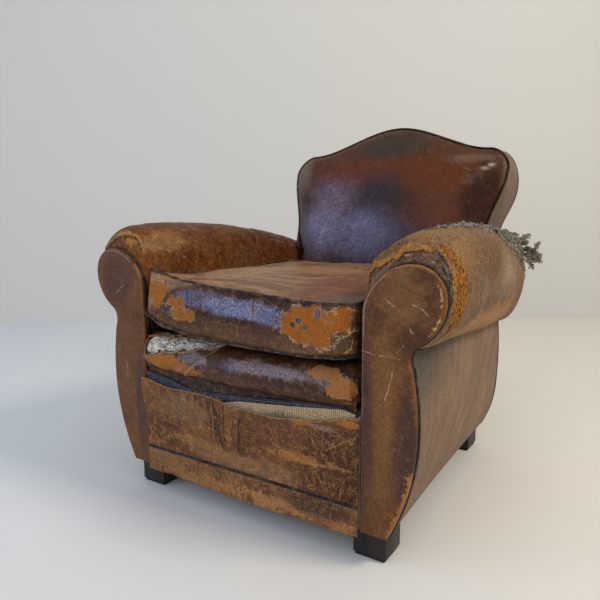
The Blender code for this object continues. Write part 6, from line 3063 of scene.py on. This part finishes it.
STRIP = Leather(
    dye=(0.24, 0.105, 0.036), deep=(0.11, 0.042, 0.017), rubbed=(0.39, 0.19, 0.066), cloud=16.0,
    mottle=0.55, contrast=0.34, fleck_colour=(0.52, 0.24, 0.07), crack=0.3,
    crack_colour=(0.33, 0.16, 0.055), rough=0.5, flecks=1.0, fray=0.7,
    patches=made_patches(
        (STAIN, (340, 150, 45), -100, -440, 60, 130, 20, 16, 2.4, 0.5, 0.6),
        (STAIN, (440, 200, 62), 70, -440, 65, 120, 20, 20, 2.4, 0.5, 0.7),
        (STAIN, (360, 150, 40), 235, -440, 58, 40, 20, 12, 1.8, 0.5, 0.7),
        (STAIN, (46, 20, 13), 185, -440, 85, 100, 20, 26, 1.1)
    )
)

FLAP = Leather(
    dye=(0.23, 0.12, 0.055), deep=(0.13, 0.066, 0.03), rubbed=(0.36, 0.21, 0.1),
    rim=(0.46, 0.2, 0.05), suede_deep=(0.2, 0.08, 0.022), painted=True, cloud=30.0, mottle=0.6,
    contrast=0.4, rough=0.85, gloss=0.1, flecks=0.6
)

TORN_LEATHER = replace(
    FLAP, dye=(0.2, 0.1, 0.045), deep=(0.11, 0.05, 0.024), rubbed=(0.32, 0.18, 0.085)
)

FINISHES: dict = {}


def make_finishes() -> None:
    """Builds every finish of the chair once."""
    kinds = {
        "cushion": CUSHION, "facing_left": FACING_LEFT, "facing_right": FACING_RIGHT,
        "arm_left": ARM_LEFT, "arm_right": ARM_RIGHT, "outside": OUTSIDE,
        "outside_back": OUTSIDE_BACK, "band": BAND, "back": BACK, "lip": LIP, "border": BORDER,
        "strip": STRIP, "flap": FLAP, "torn_leather": TORN_LEATHER,
        "piping": Cording(black=(0.008, 0.007, 0.007), rough=0.26, gloss=0.26),
        "back_piping": Cording(black=(0.04, 0.022, 0.015), worn=(0.12, 0.08, 0.055), gloss=0.15),
        "cushion_piping": Cording(worn=(0.2, 0.12, 0.07), wear=0.9),
        "lining": Cording(
            black=(0.1, 0.095, 0.095), worn=(0.26, 0.245, 0.23), rough=0.75, gloss=0.12
        ),
        # The blue-grey is partly wear and partly a painted blue reflection of the cool window.
        "binding": Cording(
            black=(0.016, 0.02, 0.032), worn=(0.1, 0.12, 0.165), wear=0.5, rough=0.45
        ),
        "hessian": Woven((0.6, 0.38, 0.17), (0.8, 0.56, 0.29), 0.004, depth=0.0012),
        "webbing": Woven((0.3, 0.22, 0.13), (0.36, 0.27, 0.17), 0.0022),
        "cambric": Woven((0.022, 0.022, 0.025), (0.034, 0.034, 0.038), 0.0008),
        "thread": Fibre((0.42, 0.36, 0.27), (0.2, 0.16, 0.11)),
        "thread_grey": Fibre((0.3, 0.28, 0.26), (0.12, 0.105, 0.095)),
        # Darker than the pale strands laid over it: matted wadding, with painted shade in the gaps
        # between them.
        "wadding": Fibre((0.3, 0.25, 0.19), (0.09, 0.07, 0.05)),
        "wadding_pale": Fibre((0.98, 0.92, 0.82), (0.33, 0.28, 0.22)),
        "tuft": Fibre((0.35, 0.295, 0.205), (0.062, 0.048, 0.03), 170.0),
        "horsehair": Fibre((0.12, 0.095, 0.07), (0.04, 0.03, 0.024)),
        "beech": Timber((0.43, 0.28, 0.16), (0.3, 0.18, 0.095)),
        "foot": Timber(
            (0.026, 0.02, 0.018), (0.014, 0.011, 0.01), (60.0, 60.0, 6.0), 0.42, 0.5,
            (0.08, 0.05, 0.03)
        ),
        "spring": Steel(), "felt": Felt()
    }
    for name, kind in kinds.items():
        FINISHES[name] = kind.build(name)


# --- studio


@dataclass
class Studio:
    """The camera, soft lamps, pale floor and backdrop."""

    place: Triple = (0.7252, -1.3209, 0.6524)
    yaw: float = 33.19
    pitch: float = 9.44
    roll: float = -0.47
    lens: float = 35.4
    sensor: float = 36.0
    wall_away: float = 3.24
    stage_size: float = 24.0
    aim: Triple = (0.0, 0.0, 0.45)
    air: tuple = (0.62, 0.68, 0.76, 1.0)
    air_power: float = 0.58

    def build(self) -> None:
        """Builds the whole studio."""
        self.build_camera()
        self.build_world()
        self.build_lamps()
        self.build_stage()
        bpy.context.scene.view_settings.view_transform = "Standard"

    def frame_axes(self) -> tuple:
        """The camera's right, up and forward directions."""
        yaw, pitch, roll = (math.radians(a) for a in (self.yaw, self.pitch, self.roll))
        forward = Vector(
            (-math.sin(yaw) * math.cos(pitch), math.cos(yaw) * math.cos(pitch), -math.sin(pitch))
        )
        right = Vector((math.cos(yaw), math.sin(yaw), 0.0))
        up = right.cross(forward)
        right = math.cos(roll) * right + math.sin(roll) * up
        return right, right.cross(forward), forward

    def build_camera(self) -> None:
        """The camera at a sitter's eye, to the chair's front right."""
        right, up, forward = self.frame_axes()
        deselect()
        bpy.ops.object.camera_add(location=self.place)
        camera = bpy.context.object
        camera.name = "camera"
        turn = Matrix((right, up, -forward)).transposed().to_4x4()
        camera.matrix_world = Matrix.Translation(self.place) @ turn
        camera.data.lens = self.lens
        camera.data.sensor_width = self.sensor
        camera.data.clip_start = 0.05
        camera.data.clip_end = 60.0
        bpy.context.scene.camera = camera

    def lamp(self, name: str, place: Triple, size: tuple, power: float, colour: Colour) -> Piece:
        """A soft rectangular lamp that points at the chair.

        Args:
            name: Its name.
            place: Where it hangs.
            size: Its width and height.
            power: Its power in watts.
            colour: Its colour.

        Returns:
            The lamp.
        """
        bpy.ops.object.light_add(type="AREA", location=place)
        light = bpy.context.object
        light.name = light.data.name = name
        light.data.shape = "RECTANGLE"
        light.data.size, light.data.size_y = size
        light.data.energy = power
        light.data.color = colour
        way = Vector(self.aim) - Vector(place)
        light.rotation_euler = way.to_track_quat("-Z", "Y").to_euler()
        return light

    def build_lamps(self) -> None:
        """A warm lamp high on the right, a tall cool window on the left and soft fill."""
        self.lamp("key", (2.45, 0.1, 2.75), (0.8, 0.8), 66.0, (1.0, 0.9, 0.76))
        self.lamp("window", (-1.85, -2.35, 1.45), (1.0, 2.3), 20.0, (0.52, 0.62, 1.0))
        for name, place, size, power in (
            ("overhead", (0.2, -0.6, 3.6), (4.0, 4.0), 26.0),
            ("front", (0.4, -3.6, 1.8), (3.0, 2.4), 34.0)
        ):
            self.lamp(name, place, size, power, (0.93, 0.97, 1.0)).visible_glossy = False

    def build_world(self) -> None:
        """A pale, cool room light, the same all round."""
        world = bpy.data.worlds.new("room")
        world.use_nodes = True
        bpy.context.scene.world = world
        back = world.node_tree.nodes["Background"]
        back.inputs["Color"].default_value = self.air
        back.inputs["Strength"].default_value = self.air_power

    def build_stage(self) -> None:
        """The floor and the wall behind."""
        deselect()
        bpy.ops.mesh.primitive_plane_add(size=self.stage_size, location=(0, 0, 0))
        floor = bpy.context.object
        floor.name = "floor"
        floor.data.materials.append(self.plain("floor", (0.74, 0.68, 0.58), (0.68, 0.71, 0.73)))
        _, _, forward = self.frame_axes()
        level = Vector((forward.x, forward.y, 0)).normalized()
        foot = Vector((self.place[0], self.place[1], 0)) + level * self.wall_away
        middle = foot + Vector((0, 0, self.stage_size / 2 - 0.01))
        bpy.ops.mesh.primitive_plane_add(size=self.stage_size, location=middle)
        wall = bpy.context.object
        wall.name = "wall"
        wall.rotation_euler = (-level).to_track_quat("Z", "Y").to_euler()
        wall.data.materials.append(self.wall_finish())

    def plain(self, name: str, warm: Colour, cool: Colour) -> Finish:
        """A pale, matt, slightly uneven finish, warmer to the right, where the warm lamp's light is
        painted in, and cooler to the left, where the cool window's light is painted in.

        Args:
            name: The material's name.
            warm: Its colour on the right, with the warm lamp's light painted in.
            cool: Its colour on the left, with the cool window's light painted in.

        Returns:
            The material.
        """
        g = Graph(name)
        x, y, _ = g.parts()
        # Painted light: the colour runs from the cool left to the warm right.
        side = g.sum("ADD", x, g.times(y, 0.6))
        colour = g.blend(g.step(side, -2.2, 2.2), cool, warm)
        return g.finish(colour, 0.75, g.relief(g.noise(30, 4), 0.0004))

    def wall_finish(self) -> Finish:
        """The wall's pale finish, clear from behind so that it hides nothing."""
        # Painted light: lighter and warmer to the right.
        material = self.plain("wall", (0.88, 0.82, 0.71), (0.66, 0.64, 0.59))
        tree = material.node_tree
        shader = tree.nodes["Principled BSDF"]
        clear = tree.nodes.new("ShaderNodeBsdfTransparent")
        side = tree.nodes.new("ShaderNodeNewGeometry")
        both = tree.nodes.new("ShaderNodeMixShader")
        tree.links.new(side.outputs["Backfacing"], both.inputs[0])
        tree.links.new(shader.outputs[0], both.inputs[1])
        tree.links.new(clear.outputs[0], both.inputs[2])
        tree.links.new(both.outputs[0], tree.nodes["Material Output"].inputs["Surface"])
        return material


def main() -> None:
    """Builds the chair's pieces in order."""
    logging.basicConfig(level=logging.INFO, format="%(message)s")
    make_finishes()
    Studio().build()
    right = Arm(Side.RIGHT)
    parts = [
        Arm(Side.LEFT), right, Back(), Cushion(), Lip(), Border(), ArmStuffing(arm=right), Feet(),
        Underside()
    ]
    for part in parts:
        LOG.info("building %s", type(part).__name__)
        part.build()
    dress_frame()


if __name__ == "__main__":
    main()
